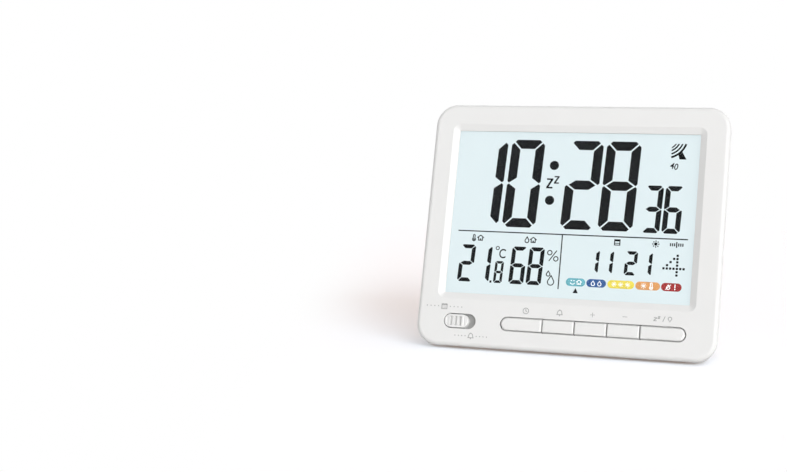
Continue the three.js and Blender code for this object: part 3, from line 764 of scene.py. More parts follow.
slide = {
    "knob": (-52.15, -41.25, 8.0, 13.8),
    "proud": 0.3,
    "back": -2,
    "rim": 0.4,
    "grooves": [
        # middle, width, depth, slope of the wall at the left: the outer two suit a fingertip
        (-50.85, 1.3, 0.45, 0), (-48.85, 0.75, 1.6, 0.75), (-46.8, 0.75, 1.6, 0.75),
        (-44.75, 0.75, 1.6, 0.75), (-43.1, 0.6, 0.3, 0.5),
    ],
    "grooveSpan": (8.85, 12.95),
    "grooveTop": 0.5,
    "stem": (-48.7, -44.7, 9.3, 12.5),
    "stemEnds": (-6.1, -1.7),
    "lever": (-47.75, -45.65, 9.7, 12.1),
    "leverEnds": (-7.1, -4.5),
    "shutter": (-55.9, -37.5, 7.0, 14.8),
    "shutterEnds": (-3.1, -2.3),
    "shutterHole": 0.3,
}


def makeKnob():
    s = slide
    piece = roundedBlock("slide_knob_cap", s["knob"], s["back"], s["proud"], fullRound, 16)
    roundRim(piece, s["proud"], s["rim"], 4)
    for x, width, depth, slope in s["grooves"]:
        area = (x - width / 2, x + width / 2, *s["grooveSpan"])
        groove = roundedBlock("groove", area, s["proud"] - depth, s["grooveTop"], 0.25, 4)
        for vertex in groove.data.vertices:
            if vertex.co.z > s["proud"] * mm and vertex.co.x < x * mm:
                vertex.co.x -= slope * mm
        cut(piece, groove)
    fuse(piece, addBlock("stem", *s["stem"], *s["stemEnds"]))
    cut(piece, addBlock("socket", *s["lever"], *s["leverEnds"]))
    softenEdges(piece, 0.1, 40, 2)
    dress(piece, "whiteKey", "slide_switch", "white_shell", "slide_knob")


def makeShutter():
    s = slide
    back, front = s["shutterEnds"]
    # The plate's grey is painted shade for the dark slot beside the knob
    piece = roundedBlock("slide_shutter_plate", s["shutter"], back, front, 2, 6)
    hole = grown(s["stem"], s["shutterHole"])
    cut(piece, addBlock("hole", *hole, back - past, front + past))
    dress(piece, "shutterGrey", "slide_switch", "grey_plastic", "slide_shutter")


makeKnob()
makeShutter()
print("switch done")


# What the display shows

display = {
    "inkBack": -3.58,
    "inkFront": -3.54,
    "slant": 0.04,
    "seam": 0.62,
    # The stroke at which the seam between strokes has its full width, and its least share
    "seamStroke": 3.85,
    "seamLeast": 0.3,
    "corner": 0.6,
    "tip": 0.26,
    "tipSlope": 0.7,
    # Where a side stroke's two slopes meet, as a share of the tip
    "joint": 0.7,
    "strokes": {
        "0": "abcdef", "1": "bc", "2": "abged", "3": "abgcd", "6": "afgedc", "8": "abcdefg",
    },
    "numbers": [
        # name, digits, (height, width, stroke), places of the lower left corners
        ("hour_digits", "10", (39.4, 15.0, 4.05), ((-48.0, 54.0), (-31.3, 54.0))),
        ("minute_digits", "28", (39.4, 15.0, 4.05), ((-5.3, 54.0), (11.1, 54.0))),
        ("second_digits", "36", (20.6, 7.7, 2.2), ((29.9, 53.8), (38.45, 53.8))),
        ("warmth_digits", "21", (16.55, 6.8, 1.75), ((-49.4, 28.9), (-41.8, 28.9))),
        ("warmth_tenth", "8", (9.7, 3.9, 1.12), ((-32.95, 28.95),)),
        ("damp_digits", "68", (16.55, 6.75, 1.75), ((-26.1, 28.9), (-18.35, 28.9))),
        ("date_digits", "1121", (10.4, 5.2, 1.45),
         ((7.55, 35.2), (13.65, 35.2), (23.85, 35.2), (30.15, 35.2))),
    ],
}
inkDepth = display["inkFront"] - display["inkBack"]


def strokeCuts(kind, size):
    # Half planes (point, normal) that a stroke keeps to, in a digit whose corner is at 0, 0
    height, width, stroke = size
    d = display
    seam = d["seam"] * max(stroke / d["seamStroke"], d["seamLeast"]) / 2
    corner, tip, slope = d["corner"] * stroke / 2, d["tip"] * stroke, d["tipSlope"]
    middle = height / 2
    rise = seam * math.hypot(1, slope)
    diagonal = seam / math.sqrt(2)
    chamfer = ((corner, height - corner), (1, -1))
    if kind == "side":
        joint = (d["joint"] * tip, middle + rise - slope * (1 - d["joint"]) * tip)
        topSeam = ((-diagonal, height - diagonal), (-1, -1))
        return [topSeam, chamfer, (joint, (-slope, 1)), (joint, (1, 1))]
    if kind == "top":
        half = [((diagonal, height + diagonal), (1, 1)), chamfer]
    else:
        half = [((tip, middle - rise), (slope, -1)), ((tip, middle + rise), (slope, 1))]
    return half + [mirrored(line, width, 0) for line in half]


def mirrored(line, width, height):
    # Turned left to right where a width is given, and upside down where a height is
    (x, y), (across, up) = line
    if width:
        x, across = width - x, -across
    if height:
        y, up = height - y, -up
    return (x, y), (across, up)


def addStroke(letter, size):
    height, width, stroke = size
    middle = height / 2
    if letter in "ad":
        kind, area = "top", (0, width, height - stroke, height)
    elif letter == "g":
        kind, area = "middle", (0, width, middle - stroke / 2, middle + stroke / 2)
    else:
        kind, area = "side", (0, stroke, middle, height)
    right = width if letter in "bc" else 0
    low = height if letter in "dec" else 0
    cuts = [mirrored(line, right, low) for line in strokeCuts(kind, size)]
    x0, x1, y0, y1 = area
    if right:
        x0, x1 = width - x1, width - x0
    if low:
        y0, y1 = height - y1, height - y0
    return cutPlate((x0, x1, y0, y1), cuts)


def cutPlate(area, cuts):
    # A thin plate on the display's front, trimmed to its half planes
    x0, x1, y0, y1 = area
    bpy.ops.mesh.primitive_plane_add(size=1)
    piece = bpy.context.object
    piece.scale = ((x1 - x0) * mm, (y1 - y0) * mm, 1)
    moved(piece, (x0 + x1) / 2, (y0 + y1) / 2, display["inkBack"])
    openEdit(piece)
    for (x, y), inward in cuts:
        bpy.ops.mesh.select_all(action="SELECT")
        bpy.ops.mesh.bisect(
            plane_co=(x * mm, y * mm, 0),
            plane_no=(*Vector(inward).normalized(), 0),
            clear_inner=True,
            threshold=0.002 * mm,
        )
    thicken()
    return piece


def thicken():
    bpy.ops.mesh.select_all(action="SELECT")
    extrude(inkDepth)
    faceOut()
    closeEdit()


def copyOf(piece, dx=0, dy=0):
    pickOnly(piece)
    bpy.ops.object.duplicate()
    return moved(bpy.context.object, dx, dy)


def joinAll(name, pieces):
    pickOnly(*pieces)
    if len(pieces) > 1:
        bpy.ops.object.join()
    made = bpy.context.object
    made.name = name
    return made


def printOn(name, pieces, material="digitInk", slot="black_plastic", rise=0):
    piece = joinAll(name, pieces)
    for vertex in piece.data.vertices:
        vertex.co.z += rise * mm
    dress(piece, material, "case", slot, smooth=0)


def makeNumbers():
    patterns = {}
    for name, digits, size, places in display["numbers"]:
        strokes = []
        for digit, (x, y) in zip(digits, places):
            for letter in display["strokes"][digit]:
                if (letter, size) not in patterns:
                    stroke = addStroke(letter, size)
                    for vertex in stroke.data.vertices:
                        vertex.co.x += display["slant"] * vertex.co.y
                    patterns[letter, size] = stroke
                strokes.append(copyOf(patterns[letter, size], x, y))
        printOn(name, strokes)
    for pattern in patterns.values():
        bpy.data.objects.remove(pattern)


makeNumbers()
print("numbers done")

signs = {
    "colon": ((-9.94, 82.14, 2.05), (-10.8, 66.5, 2.05)),
    "rules": ((-50.8, 49.9, 51.34, 51.84), (-4.05, -3.55, 27.7, 51.34)),
    "point": (-34.5, -33.6, 28.9, 29.9),
    "pointer": (3.8, 26.35, 2.3, 2.2),
    "degree": (-32.1, 44.4, 0.72, 0.36, 0, 360, 32),
    "line": 0.42,
    "words": [
        # name, text, place of the middle, height of the letters, their width, turn in degrees
        ("warmth_unit", "C", (-29.75, 41.8), 4.2, 0.8, 0),
        ("channel_number", "40", (42.0, 82.9), 2.8, 0.9, -12),
    ],
    "capital": 0.73,
    "swell": 0.05,
    "snooze": (((-12.8, -9.9, 71.8, 76.3), 0.7), ((-9.5, -7.2, 74.0, 77.4), 0.56)),
    "pills": {
        "teal": (-0.62, 7.8), "blue": (8.3, 16.75), "yellow": (17.35, 28.75),
        "orange": (29.25, 39.6), "red": (40.05, 48.6),
    },
    "pillRows": (29.32, 32.8),
    "pillLine": 0.32,
    "pillRise": 0.05,
    "matrix": ("....#..", "...##..", "..#.#..", ".#..#..", "#######", "....#..", "....#.."),
    "matrixCorner": (40.0, 35.65),
    "matrixPitch": 1.4,
    "matrixDot": 0.98,
    "dishMiddle": (37.9, 95.5),
    "dishEdges": (40.45, 92.85),
    "waves": ((5.05, 0.52), (6.15, 0.66), (7.5, 0.66), (8.92, 0.85)),
    "dishFoot": ((43.3, 47.1, 86.1, 90.1), [
        ((43.3, 88.5), (0.96, 0.28)), ((44.9, 89.6), (-0.86, -0.5)), ((43.9, 89.1), (0.55, -0.83)),
    ]),
    "headings": 48.6,
    "pageAt": (20.2, 49.15),
    "sunAt": (36.6, 49.15),
    # left edge of the first day, pitch, width, half height of a day and of today
    "week": (42.5, 0.86, 0.52, 0.65, 1.25),
}

# What draw gets for each picture: arcs (x, y, radius, from, to, steps), bars (x0, y0, x1, y1),
# pairs (a bar and its mirror image), plates (x0, x1, y0, y1) and discs (x, y, radius, sides)
pictures = {
    "thermometer": {
        "arcs": [(0, -0.75, 0.68, -235, 55, 24), (0, 1, 0.38, 0, 180, 12)],
        "pairs": [(0.38, -0.25, 0.38, 1)],
        "discs": [(0, -0.75, 0.4, 20)],
    },
    "smile": {
        "arcs": [(0, 0.2, 1.1, 205, 335, 16)],
        "discs": [(-0.6, 0.65, 0.28, 16), (0.6, 0.65, 0.28, 16)],
    },
    "bell": {
        "arcs": [(0, 0.3, 0.85, 0, 180, 16)],
        "pairs": [(0.85, 0.3, 1.12, -0.75)],
        "plates": [(-1.35, 1.35, -0.88, -0.56)],
        "discs": [(0, -1.15, 0.25, 16), (0, 1.32, 0.2, 16)],
    },
    "clock": {
        "arcs": [(0, 0, 1.22, 0, 360, 36)],
        "bars": [(0, -0.05, 0, 0.8), (-0.05, 0, 0.62, -0.34)],
    },
    "lamp": {
        "arcs": [(0, 0.3, 0.72, -50, 230, 28)],
        "pairs": [(0.46, -0.25, 0.32, -0.6)],
        "plates": [(-0.38, 0.38, -0.75, -0.55), (-0.3, 0.3, -1.1, -0.9)],
    },
}


def addDisc(x, y, radius, sides=40):
    return addRod("disc", x, y, display["inkBack"], display["inkFront"], radius, sides)


def addPlate(*area):
    return addBlock("plate", *area, display["inkBack"], display["inkFront"])


def addArc(x, y, radius, width, fromAngle, toAngle, steps=20):
    # A strip between two radii: a short edge spun about the middle, then given its thickness
    bpy.ops.mesh.primitive_plane_add(size=mm)
    piece = bpy.context.object
    openEdit(piece)
    selectBy(piece, "VERT", lambda c: c[0].x > 0)
    bpy.ops.mesh.delete(type="VERT")
    closeEdit()
    start, z = math.radians(fromAngle), display["inkBack"] * mm
    for vertex, side in zip(piece.data.vertices, (-1, 1)):
        reach = (radius + side * width / 2) * mm
        vertex.co = (x * mm + reach * math.cos(start), y * mm + reach * math.sin(start), z)
    openEdit(piece)
    bpy.ops.mesh.spin(
        steps=steps,
        angle=math.radians(toAngle - fromAngle),
        center=(x * mm, y * mm, z),
        axis=(0, 0, -1),
    )
    mergeClose()
    thicken()
    return piece


def addBar(x0, y0, x1, y1, line):
    # A straight stroke between two points
    length = math.hypot(x1 - x0, y1 - y0)
    piece = addPlate(-length / 2, length / 2, -line / 2, line / 2)
    turn = math.atan2(y1 - y0, x1 - x0)
    return moved(piece, (x0 + x1) / 2, (y0 + y1) / 2, 0, (0, 0, turn))


def addLetters(text, place, height, width, turn):
    # Drawn flat as a text object, made a mesh, then laid in its place
    bpy.ops.object.text_add()
    piece = bpy.context.object
    words = piece.data
    words.body = text
    words.size = height / signs["capital"] * mm
    words.extrude = inkDepth / 2 * mm
    words.offset = signs["swell"] * mm
    words.align_x = "CENTER"
    words.align_y = "CENTER"
    piece.scale.x = width
    bpy.ops.object.convert(target="MESH")
    return moved(piece, *place, display["inkBack"] + inkDepth / 2, (0, 0, math.radians(turn)))


def draw(x, y, line, arcs=(), bars=(), pairs=(), plates=(), discs=()):
    # The parts of a picture, which are measured from its middle
    both = [(side * x0, y0, side * x1, y1) for x0, y0, x1, y1 in pairs for side in (-1, 1)]
    return (
        [addArc(x + a, y + b, radius, line, *span) for a, b, radius, *span in arcs]
        + [addBar(x + x0, y + y0, x + x1, y + y1, line) for x0, y0, x1, y1 in (*bars, *both)]
        + [addPlate(x + x0, x + x1, y + y0, y + y1) for x0, x1, y0, y1 in plates]
        + [addDisc(x + a, y + b, *size) for a, b, *size in discs]
    )


def picture(name, x, y, line):
    return draw(x, y, line, **pictures[name])


def drop(x, y, radius, line, rise=2.2):
    side, up, tip = radius * 0.82, radius * 0.57, 0.06
    return draw(x, y, line, [(0, 0, radius, 145, 395, 28)], pairs=[(side, up, -tip, radius * rise)])


def house(x, y, line, size=1):
    # Indoors: the reading is the room's
    roof, wall, low, door = (size * part for part in (1.5, 1.1, -1.25, 0.3))
    return draw(x, y, line, pairs=[(roof, 0.05, 0, -low)], plates=[
        (-wall, line - wall, low, 0.3), (wall - line, wall, low, 0.3),
        (-wall, wall, low, low + line), (-door, door, low, low + size),
    ])


def sun(x, y, radius, line):
    rays = []
    for i in range(8):
        across, up = radius * math.cos(math.pi / 4 * i), radius * math.sin(math.pi / 4 * i)
        rays.append((1.4 * across, 1.4 * up, 2.1 * across, 2.1 * up))
    return draw(x, y, line, bars=rays, discs=[(0, 0, radius, 24)])


def zigzag(area, line):
    # Two level bars and the slope that joins them
    x0, x1, y0, y1 = area
    indent, inset = 0.1, 0.6 * line
    rise, run = y1 - y0 - 2 * line, x1 - x0 - 1.6 * line
    half = 0.62 * line / math.hypot(rise, run)
    x, y = (x0 + x1) / 2, (y0 + y1) / 2
    cuts = [
        ((x - side * rise * half, y + side * run * half), (side * rise, -side * run))
        for side in (1, -1)
    ]
    return [
        addPlate(x0 + indent, x1, y1 - line, y1),
        addPlate(x0, x1 - indent, y0, y0 + line),
        cutPlate((x0, x1, y0 + inset, y1 - inset), cuts),
    ]


def edges(width, height, line):
    # The four sides of a page
    a, b = width / 2, height / 2
    return [(-a, a, b - line, b), (-a, a, -b, line - b), (-a, line - a, -b, b), (a - line, a, -b, b)]


def makeDisplaySigns():
    s = signs
    line = s["line"]
    printOn("colon_dots", [addDisc(*dot) for dot in s["colon"]])
    printOn("display_rules", [addPlate(*rule) for rule in s["rules"]])
    printOn("warmth_point", [addPlate(*s["point"])])
    x, y, width, height = s["pointer"]
    half = width / 2
    cuts = [((x - side * half, y), (side * height, -half)) for side in (1, -1)]
    printOn("comfort_pointer", [cutPlate((x - half, x + half, y, y + height), cuts)])
    printOn("degree_ring", [addArc(*s["degree"])])
    rings = [(-8.7, 43.4, 0.97, 0, 360, 32), (-5.85, 40.8, 0.97, 0, 360, 32)]
    printOn("share_sign", draw(0, 0, line, rings, [(-8.85, 39.75, -5.7, 44.4)]))
    for name, *word in s["words"]:
        printOn(name, [addLetters(*word)])
    for colour, sides in s["pills"].items():
        area = (*sides, *s["pillRows"])
        pill = roundedBlock(colour, area, display["inkBack"], display["inkFront"], 5, 12)
        printOn(colour + "_pill", [pill], colour, "lcd_glass")
    makePillPictures()
    printOn("snooze_sign", [part for sign in s["snooze"] for part in zigzag(*sign)])
    makeMatrix()
    makeSignalDish()
    printOn("drop_sign", drop(-7.3, 30.6, 1.38, line, 2.15) + drop(-8.65, 33.9, 0.78, line, 2))
    makeHeadings()


def makePillPictures():
    # Small white pictures in the fields, for pleasant, damp, bad, hot and dry air
    line = signs["pillLine"]
    y = sum(signs["pillRows"]) / 2
    pleasant, damp, bad, hot, dry = (sum(sides) / 2 for sides in signs["pills"].values())
    parts = {
        "pleasant": picture("smile", pleasant - 1.3, y, line) + house(pleasant + 1.5, y, line, 0.82),
        "damp": [part for x in (-1.4, 1.4) for part in drop(damp + x, y - 0.35, 0.72, line, 1.9)],
        "bad": [part for x in (-2.9, 0, 2.9) for part in sun(bad + x, y, 0.5, line)],
        "hot": sun(hot - 1.7, y, 0.55, line) + picture("thermometer", hot + 1.5, y, line),
        "dry": drop(dry - 1.3, y - 0.3, 0.7, line, 1.9) + draw(
            dry, y, line, bars=[(-2.4, -1.1, -0.2, 1.1)],
            plates=[(1.3, 1.7, -0.3, 1.2)], discs=[(1.5, -0.9, 0.26, 16)],
        ),
    }
    for air, made in parts.items():
        printOn(air + "_picture", made, "whiteInk", "milky_plastic", signs["pillRise"])


def makeMatrix():
    s = signs
    x, y = s["matrixCorner"]
    pitch, size = s["matrixPitch"], s["matrixDot"]
    first = addPlate(0, size, 0, size)
    roundUprights(first, 0.2, 2)
    dots = [
        copyOf(first, x + column * pitch, y + row * pitch)
        for row, line in enumerate(reversed(s["matrix"]))
        for column, mark in enumerate(line) if mark == "#"
    ]
    bpy.data.objects.remove(first)
    printOn("weekday_matrix", dots)


def makeSignalDish():
    # Waves that run into a dish on its foot, seen from the side, trimmed at the left and top
    x, y = signs["dishMiddle"]
    left, top = signs["dishEdges"]
    parts = []
    for radius, width in signs["waves"]:
        low = -math.degrees(math.acos((left - x) / radius))
        high = -math.degrees(math.asin((y - top) / radius))
        parts.append(addArc(x, y, radius, width, low, high))
    printOn("signal_dish", [*parts, cutPlate(*signs["dishFoot"])])


def makeHeadings():
    # Plain signs over the readings: warmth and damp indoors, a page, a sun and seven days
    s = signs
    line, y = s["line"], s["headings"]
    printOn("warmth_sign", picture("thermometer", -43.3, y, line) + house(-40.3, y, line))
    printOn("damp_sign", drop(-19.3, y - 0.4, 0.85, line) + house(-16.5, y, line))
    rows = [(-1.3, 1.3, 0.45, 1.2), (-1.3, 1.3, -0.55, -0.2)]
    printOn("month_sign", draw(*s["pageAt"], line, plates=edges(2.7, 2.7, line) + rows))
    printOn("day_sign", sun(*s["sunAt"], 0.72, 0.5))
    left, pitch, width, low, tall = s["week"]
    days = [(pitch * i, tall if i == 3 else low) for i in range(7)]
    bars = [(x, x + width, -half, half) for x, half in days]
    printOn("week_sign", draw(left, s["sunAt"][1], line, plates=bars))


makeDisplaySigns()
print("display signs done")


# Faint marks printed on the face

marks = {
    # From the display's ink up to just over the face
    "rise": 3.58,
    "row": 17.0,
    "lowRow": 4.6,
    "line": 0.32,
}


def dots(x, y, gap, reach, count=4):
    # A short row of dots each side of a sign
    step = (reach - gap) / (count - 1)
    at = [side * (gap + step * i) for i in range(count) for side in (-1, 1)]
    return draw(x, y, 0, discs=[(a, 0, 0.24, 16) for a in at])


def calendar(x, y, line):
    days = [(a, a + 0.3, b, b + 0.3) for a in (-0.8, -0.18, 0.44) for b in (-0.05, -0.7)]
    return draw(x, y - 0.1, line, plates=[
        *edges(2.7, 2.4, line), (-1.3, 1.3, 0.55, 0.55 + line), *days,
        (-0.72, -0.48, 0.9, 1.4), (0.48, 0.72, 0.9, 1.4),
    ])


def makeFaceMarks():
    y, low, line = marks["row"], marks["lowRow"], marks["line"]
    level, uprightBar = (-1, 1, -0.12, 0.12), (-0.12, 0.12, -1, 1)
    groups = {
        "calendar": calendar(-52.8, y, line) + dots(-52.8, y, 2.7, 7.9),
        "alarm_view": picture("bell", -39.7, low, line) + dots(-39.7, low, 2.5, 7.1),
        "time": picture("clock", -16.2, y, line),
        "alarm": picture("bell", -1.4, y, line),
        "plus": draw(12.75, y, line, plates=[level, uprightBar]),
        "minus": draw(26.5, y, line, plates=[level]),
        "snooze_light": [
            *zigzag((38.4, 39.9, y - 1, y + 0.6), line), *zigzag((40.1, 41.2, y, y + 1.15), line),
            addBar(42.3, y - 1.1, 43.2, y + 1.2, line), *picture("lamp", 45.2, y, line),
        ],
    }
    for name, parts in groups.items():
        printOn(name + "_mark", parts, "labelInk", "grey_plastic", marks["rise"])


makeFaceMarks()
print("face marks done")


# Rear cover

cover = {
    "outline": (-64.1, 64.1, 0.9, 107.5),
    "corner": 9.05,
    "front": -7.3,
    "lead": 0.1,
    "back": -30,
    "crown": 12.6,
    "crownPower": 1.75,
    "levels": 16,
    "wall": 2,
    "bay": (-28.75, 28.75, 59.85, 90.15),
    "bayFloor": -13.4,
    "bayWall": 1.5,
    "doorOpening": (-30.25, 30.25, 58.35, 91.65),
    "doorSeat": -28.2,
    "recess": (-28.5, 28.5, -20, 52.65),
    "recessFloor": -25.4,
    "vents": (-39, 34.35, 5, 3.4, 1.4, 12),
    "soundHoles": (39, 34.35, 6, 3.4, 1),
    "resetHole": (-39, 54.35),
    "resetRadius": 2.3,
    "wells": ((-58.6, 101), (58.6, 101), (-58.6, 8.8), (58.6, 8.8)),
    "wellRadius": 2.5,
    "wellFloor": -14.3,
    "postRadius": 3.5,
    "postEnd": -12.3,
    "pilotRadius": 1.3,
    "pilotEnd": -12,
}
outside, inside = cover["back"] - past, cover["back"] + cover["wall"]


def addHull(name, wall):
    # A round-cornered block drawn out to the back, smaller at each step, into a crown
    c = cover
    x0, x1, y0, y1 = grown(c["outline"], -wall)
    start, end, power = c["front"] - c["lead"], c["back"] + wall, c["crownPower"]
    top, corner = c["front"] + wall / 2, c["corner"] - wall / 2
    piece = roundedBlock(name, (x0, x1, y0, y1), start, top, corner, 12)
    openEdit(piece)
    selectBy(piece, "FACE", allAt(2, start))
    width, height, z = x1 - x0, y1 - y0, start
    for level in range(1, c["levels"] + 1):
        along = math.sin(math.pi / 2 * level / c["levels"])
        inset = c["crown"] * (1 - (1 - along**power) ** (1 / power))
        nextWidth, nextHeight = x1 - x0 - 2 * inset, y1 - y0 - 2 * inset
        nextZ = start + (end - start) * along
        extrude(nextZ - z)
        bpy.ops.transform.resize(
            value=(nextWidth / width, nextHeight / height, 1),
            center_override=(0, (y0 + y1) / 2 * mm, nextZ * mm),
        )
        width, height, z = nextWidth, nextHeight, nextZ
    closeEdit()
    return piece


def makeCover():
    c = cover
    wall = c["bayWall"]
    cavity = addHull("cavity", c["wall"])
    floors = {"bay": c["bayFloor"], "doorOpening": inside, "recess": c["recessFloor"]}
    for name, floor in floors.items():
        cut(cavity, addBlock(name, *grown(c[name], wall), inside - past, floor + wall))
    for place in c["wells"]:
        cut(cavity, addRod("post", *place, c["back"], c["postEnd"], c["postRadius"]))
    piece = addHull("cover_shell", 0)
    cut(
        piece,
        cavity,
        addBlock("bay", *c["bay"], outside, c["bayFloor"]),
        roundedBlock("door_opening", c["doorOpening"], outside, c["doorSeat"], 1.3, 5),
        addBlock("recess", *c["recess"], outside, c["recessFloor"]),
        ventTool(),
        soundTool(),
        addRod("reset_hole", *c["resetHole"], outside, inside + past, c["resetRadius"]),
    )
    for place in c["wells"]:
        cut(piece, addRod("well", *place, outside, c["wellFloor"], c["wellRadius"]))
        cut(piece, addRod("pilot", *place, outside, c["pilotEnd"], c["pilotRadius"], 24))
    cutUnderside(piece)
    softenEdges(piece, 0.25, 30, 2)
    dress(piece, "whiteShell", "case", "white_shell", "rear_cover", smooth=30)


def ventTool():
    x, y, count, pitch, width, height = cover["vents"]
    area = (x - width / 2, x + width / 2, y - height / 2, y + height / 2)
    first = roundedBlock("vent", area, outside, inside + past, width / 2 - roundGap, 6)
    slots = [copyOf(first, (i - (count - 1) / 2) * pitch) for i in range(count)]
    bpy.data.objects.remove(first)
    return joinAll("vents", slots)


def soundTool():
    x, y, count, pitch, radius = cover["soundHoles"]
    first = addRod("sound_hole", x, y, outside, inside + past, radius, 20)
    turns = [2 * math.pi * i / count for i in range(count)]
    ring = [copyOf(first, pitch * math.cos(a), pitch * math.sin(a)) for a in turns]
    return joinAll("sound_holes", [first, *ring])


makeCover()
print("cover done")


# Battery door

door = {
    "area": (-29.95, 29.95, 58.65, 91.35),
    "ends": (-30, -28.5),
    "corner": 1,
    "rim": 0.35,
    "grip": (-8, 8, 82.9, 88.3),
    "gripFloor": -29.05,
    "ribs": 5,
    "ribHalf": 0.5,
    "ribGap": 0.8,
    "ribEnds": (-29.55, -28.85),
    "ribCorner": 0.45,
    # the two tabs, then the latch
    "tabs": ((-20.25, -14.25, 60.15, 61.15), (14.25, 20.25, 60.15, 61.15), (-6, 6, 88.85, 89.85)),
    "tabEnds": (-29, -25.5),
}


def makeDoor():
    d = door
    back = d["ends"][0]
    piece = roundedBlock("door_panel", d["area"], *d["ends"], d["corner"], 5)
    roundRim(piece, back, d["rim"], 3)
    cut(piece, roundedBlock("grip", d["grip"], back - past, d["gripFloor"], fullRound, 12))
    x0, x1, y0, y1 = d["grip"]
    half, gap = d["ribHalf"], d["ribGap"]
    step = (x1 - x0) / (d["ribs"] + 1)
    for i in range(d["ribs"]):
        x = x0 + step * (i + 1)
        area = (x - half, x + half, y0 + gap, y1 - gap)
        rib = roundedBlock("rib", area, *d["ribEnds"], d["ribCorner"], 4)
        roundRim(rib, d["ribEnds"][0], 0.2, 2)
        fuse(piece, rib)
    fuse(piece, *[addBlock("tab", *area, *d["tabEnds"]) for area in d["tabs"]])
    dress(piece, "whiteShell", "door", "white_shell", "battery_door", smooth=30)


makeDoor()
print("door done")


# Fold-out stand with its sole, and the feet

stand = {
    "sides": (-28, 28),
    "length": 43.07,
    "ends": (-2, 0.8),
    "heel": 8,
    "heelFront": 1.7,
    "corner": 4,
    "barrel": 2,
    "barrelGap": 0.12,
    "pinHole": (-33, 33, 0, 0, 1.4, 32),
    "panel": (-19.6, 19.6, -32.3, -10.8),
    "panelFloor": -1,
    "turn": 28,
    "pin": (50.35, -27.85),
    "ground": 1.1,
}
pads = {
    # area, corner and its steps, rim, body; all as high as padHeight
    "stand_sole": ((-20, 20, 18.737, 21.901), 1, 6, 0.2, "rear_stand"),
    "front_foot_left": ((-50, -34, -20.22, -12.22), 2, 8, 0.25, "case"),
    "front_foot_right": ((34, 50, -20.22, -12.22), 2, 8, 0.25, "case"),
}
padHeight = 0.8


def makeStand():
    s = stand
    back, length, barrel, sides = s["ends"][0], s["length"], s["barrel"], s["sides"]
    piece = addBlock("stand_leg", *sides, -length, barrel, *s["ends"])
    roundEdges(piece, lambda c: allAt(1, barrel)(c) and allAt(2, back)(c), barrel - 0.05, 10)
    fuse(piece, addBlock("heel", *sides, -length, s["heel"] - length, back, s["heelFront"]))
    outline = roundedBlock("outline", (*sides, -length, length), back - 1, back + 9, s["corner"], 8)
    cut(piece, outline, kind="INTERSECT")
    fuse(piece, addAxle("barrel", *sides, 0, 0, barrel - s["barrelGap"]))
    panel = roundedBlock("panel", s["panel"], back - past, s["panelFloor"], 3, 8)
    cut(piece, panel, addAxle("pin_hole", *s["pinHole"]))
    y, z = s["pin"]
    turn = Matrix.Rotation(math.radians(s["turn"]), 4, "X")
    settle(piece, faceSpace @ Matrix.Translation((0, y * mm, z * mm)) @ turn)
    trim(piece, (0, 0, s["ground"] * mm), (0, 0, 1))
    softenEdges(piece, 0.35, 35)
    dress(piece, "whiteShell", "rear_stand", "white_shell", "stand", smooth=30, space=worldSpace)


def makePads():
    for node, (area, corner, steps, rim, body) in pads.items():
        pad = roundedBlock(node + "_pad", area, 0, padHeight, corner, steps)
        roundRim(pad, padHeight, rim, 2)
        dress(pad, "rubber", body, "grey_rubber", node, space=worldSpace)


makeStand()
makePads()
print("stand and feet done")


# Reset key and the case screws

screw = {
    "head": (-16.2, -14.6),
    "headRadius": 2.2,
    "rim": 0.6,
    "shank": (-14.9, -6.6, 1, 24),
    "cross": (-0.275, 0.275, -1.35, 1.35),
    "crossEnds": (-17.2, -15.3),
    "names": ("top_left", "top_right", "bottom_left", "bottom_right"),
}
resetKey = {"ends": (-29.5, -15.6), "radius": 2, "rim": 0.45}


def makeScrews():
    s = screw
    first = addRod("screw", 0, 0, *s["head"], s["headRadius"], 40)
    roundRim(first, s["head"][0], s["rim"], 4)
    fuse(first, addRod("shank", 0, 0, *s["shank"]))
    x0, x1, y0, y1 = s["cross"]
    for area in ((y0, y1, x0, x1), (x0, x1, y0, y1)):
        cut(first, addBlock("slot", *area, *s["crossEnds"]))
    for name, place in zip(s["names"], cover["wells"]):
        piece = copyOf(first, *place)
        piece.name = "cross_screw_" + name
        dress(piece, "steel", "case", "steel", "case_screw_" + name)
    bpy.data.objects.remove(first)


def makeResetKey():
    r = resetKey
    piece = addRod("reset_button", *cover["resetHole"], *r["ends"], r["radius"], 40)
    roundRim(piece, r["ends"][0], r["rim"], 4)
    dress(piece, "rubber", "reset", "grey_rubber", "reset_key")


makeScrews()
makeResetKey()
print("screws and reset key done")


# Cells and their springs

cells = {
    "radius": 7.25,
    "ends": (-25.25, 24.05),
    "rolledEdge": 1.2,
    "film": 0.15,
    "coreRadius": 6.85,
    "coreEnds": (-25.13, 23.93),
    "nub": (23.05, 25.25),
    "nubRadius": 2.7,
    "middle": 2.5,
    "rows": (82.6, 67.4),
    "depth": -20.95,
    # the plate and the tip of a spring, for the middle of the wire
    "springEnds": (27.33, 23.47),
    "springRadii": (3.15, 1.75),
    "wire": 0.42,
    "turns": 4,
    "turnSteps": 28,
    # the share of the wire that lies flat on the plate, and the share that climbs
    "flat": 0.16,
    "climbing": 0.68,
}


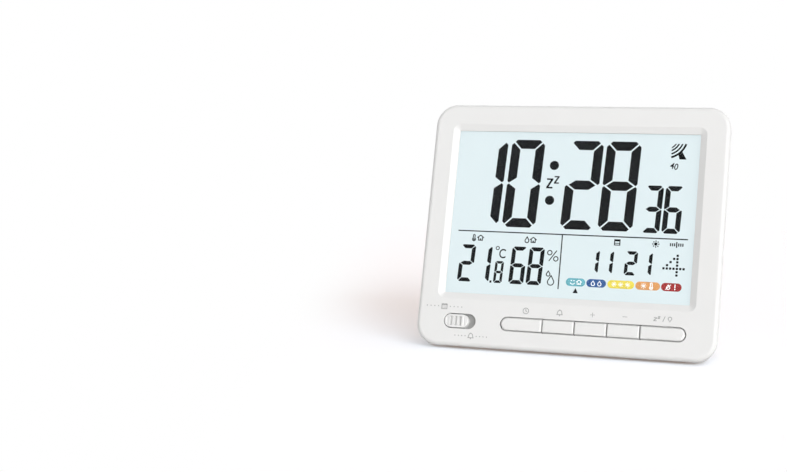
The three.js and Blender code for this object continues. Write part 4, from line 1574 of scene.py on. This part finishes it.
def makeCell(name, row, side):
    # Along x, with its nub towards side
    c = cells
    back, front = c["ends"]
    at = (c["rows"][row], c["depth"])
    jacket = addAxle(name + "_jacket", back, front, *at, c["radius"], 64)
    openEdit(jacket)
    selectBy(jacket, "FACE", lambda k: allAt(0, back)(k) or allAt(0, front)(k))
    bpy.ops.mesh.inset(thickness=c["rolledEdge"] * mm)
    bpy.ops.mesh.delete(type="FACE")
    faceOut()
    closeEdit()
    step = jacket.modifiers.new("film", "SOLIDIFY")
    step.thickness = c["film"] * mm
    useModifier(jacket, step)
    softenEdges(jacket, 0.45, 60)
    core = addAxle(name + "_ends", *c["coreEnds"], *at, c["coreRadius"], 64)
    fuse(core, addAxle("nub", *c["nub"], *at, c["nubRadius"]))
    softenEdges(core, 0.35, 40)
    for piece, finish, slot in ((jacket, "cellJacket", "cell_jacket"), (core, "nickel", "steel")):
        for vertex in piece.data.vertices:
            vertex.co.x = side * (vertex.co.x + c["middle"] * mm)
        if side < 0:
            piece.data.flip_normals()
        dress(piece, finish, "case", slot, name)


def makeSpring(name, row, side):
    # A cone of wire, wide where it stands on its plate
    c = cells
    y, z = c["rows"][row], c["depth"]
    wide, narrow = c["springRadii"]
    plate, tip = (end * side for end in c["springEnds"])
    bpy.ops.curve.primitive_bezier_circle_add(radius=mm)
    piece = bpy.context.object
    piece.name = name + "_coil"
    wire = piece.data
    wire.splines.clear()
    path = wire.splines.new("POLY")
    count = c["turnSteps"] * c["turns"]
    path.points.add(count)
    for i, point in enumerate(path.points):
        climb = min(max((i / count - c["flat"]) / c["climbing"], 0), 1)
        radius = wide + (narrow - wide) * climb
        angle = 2 * math.pi * c["turns"] * i / count
        x = plate + (tip - plate) * climb
        place = (x, y + radius * math.cos(angle), z + radius * math.sin(angle))
        point.co = (*(part * mm for part in place), 1)
    wire.bevel_depth = c["wire"] * mm
    wire.bevel_resolution = 3
    wire.use_fill_caps = True
    bpy.ops.object.convert(target="MESH")
    dress(piece, "nickel", "case", "steel", name)


makeCell("upper_cell", 0, 1)
makeCell("lower_cell", 1, -1)
makeSpring("upper_spring", 0, -1)
makeSpring("lower_spring", 1, 1)
print("cells and springs done")


# Finishes of the parts that keep their own shape

nodeFinishes = {
    "display_lens": "clear",
    "lcd_panel": "lcdGlass",
    "light_guide": "milky",
    "reflector_sheet": "whiteFilm",
    "display_holder": "holderWhite",
    "backlight_led": "lampResin",
    "climate_sensor": "whiteFilm",
    "lcd_contact_strip": "zebraRubber",
    "clock_chip": "chipEpoxy",
    "buzzer": "darkPlastic",
    "main_board": "boardGreen",
    "antenna_rod": "ferrite",
    "antenna_coil": "copperWinding",
    "reset_plunger": "nickel",
}
# For the other nodes the last word of the name says it, or they are steel
lastWords = {
    "crystal": "nickel",
    "case": "nickel",
    "contact": "nickel",
    "switch": "switchBlack",
    "lever": "switchBlack",
    "plunger": "switchBlack",
}
for name, node in nodes.items():
    finish = nodeFinishes.get(name) or lastWords.get(name.split("_")[-1], "steel")
    for place in node.material_slots:
        place.material = finishes[finish]
print("finishes given to the remaining parts")
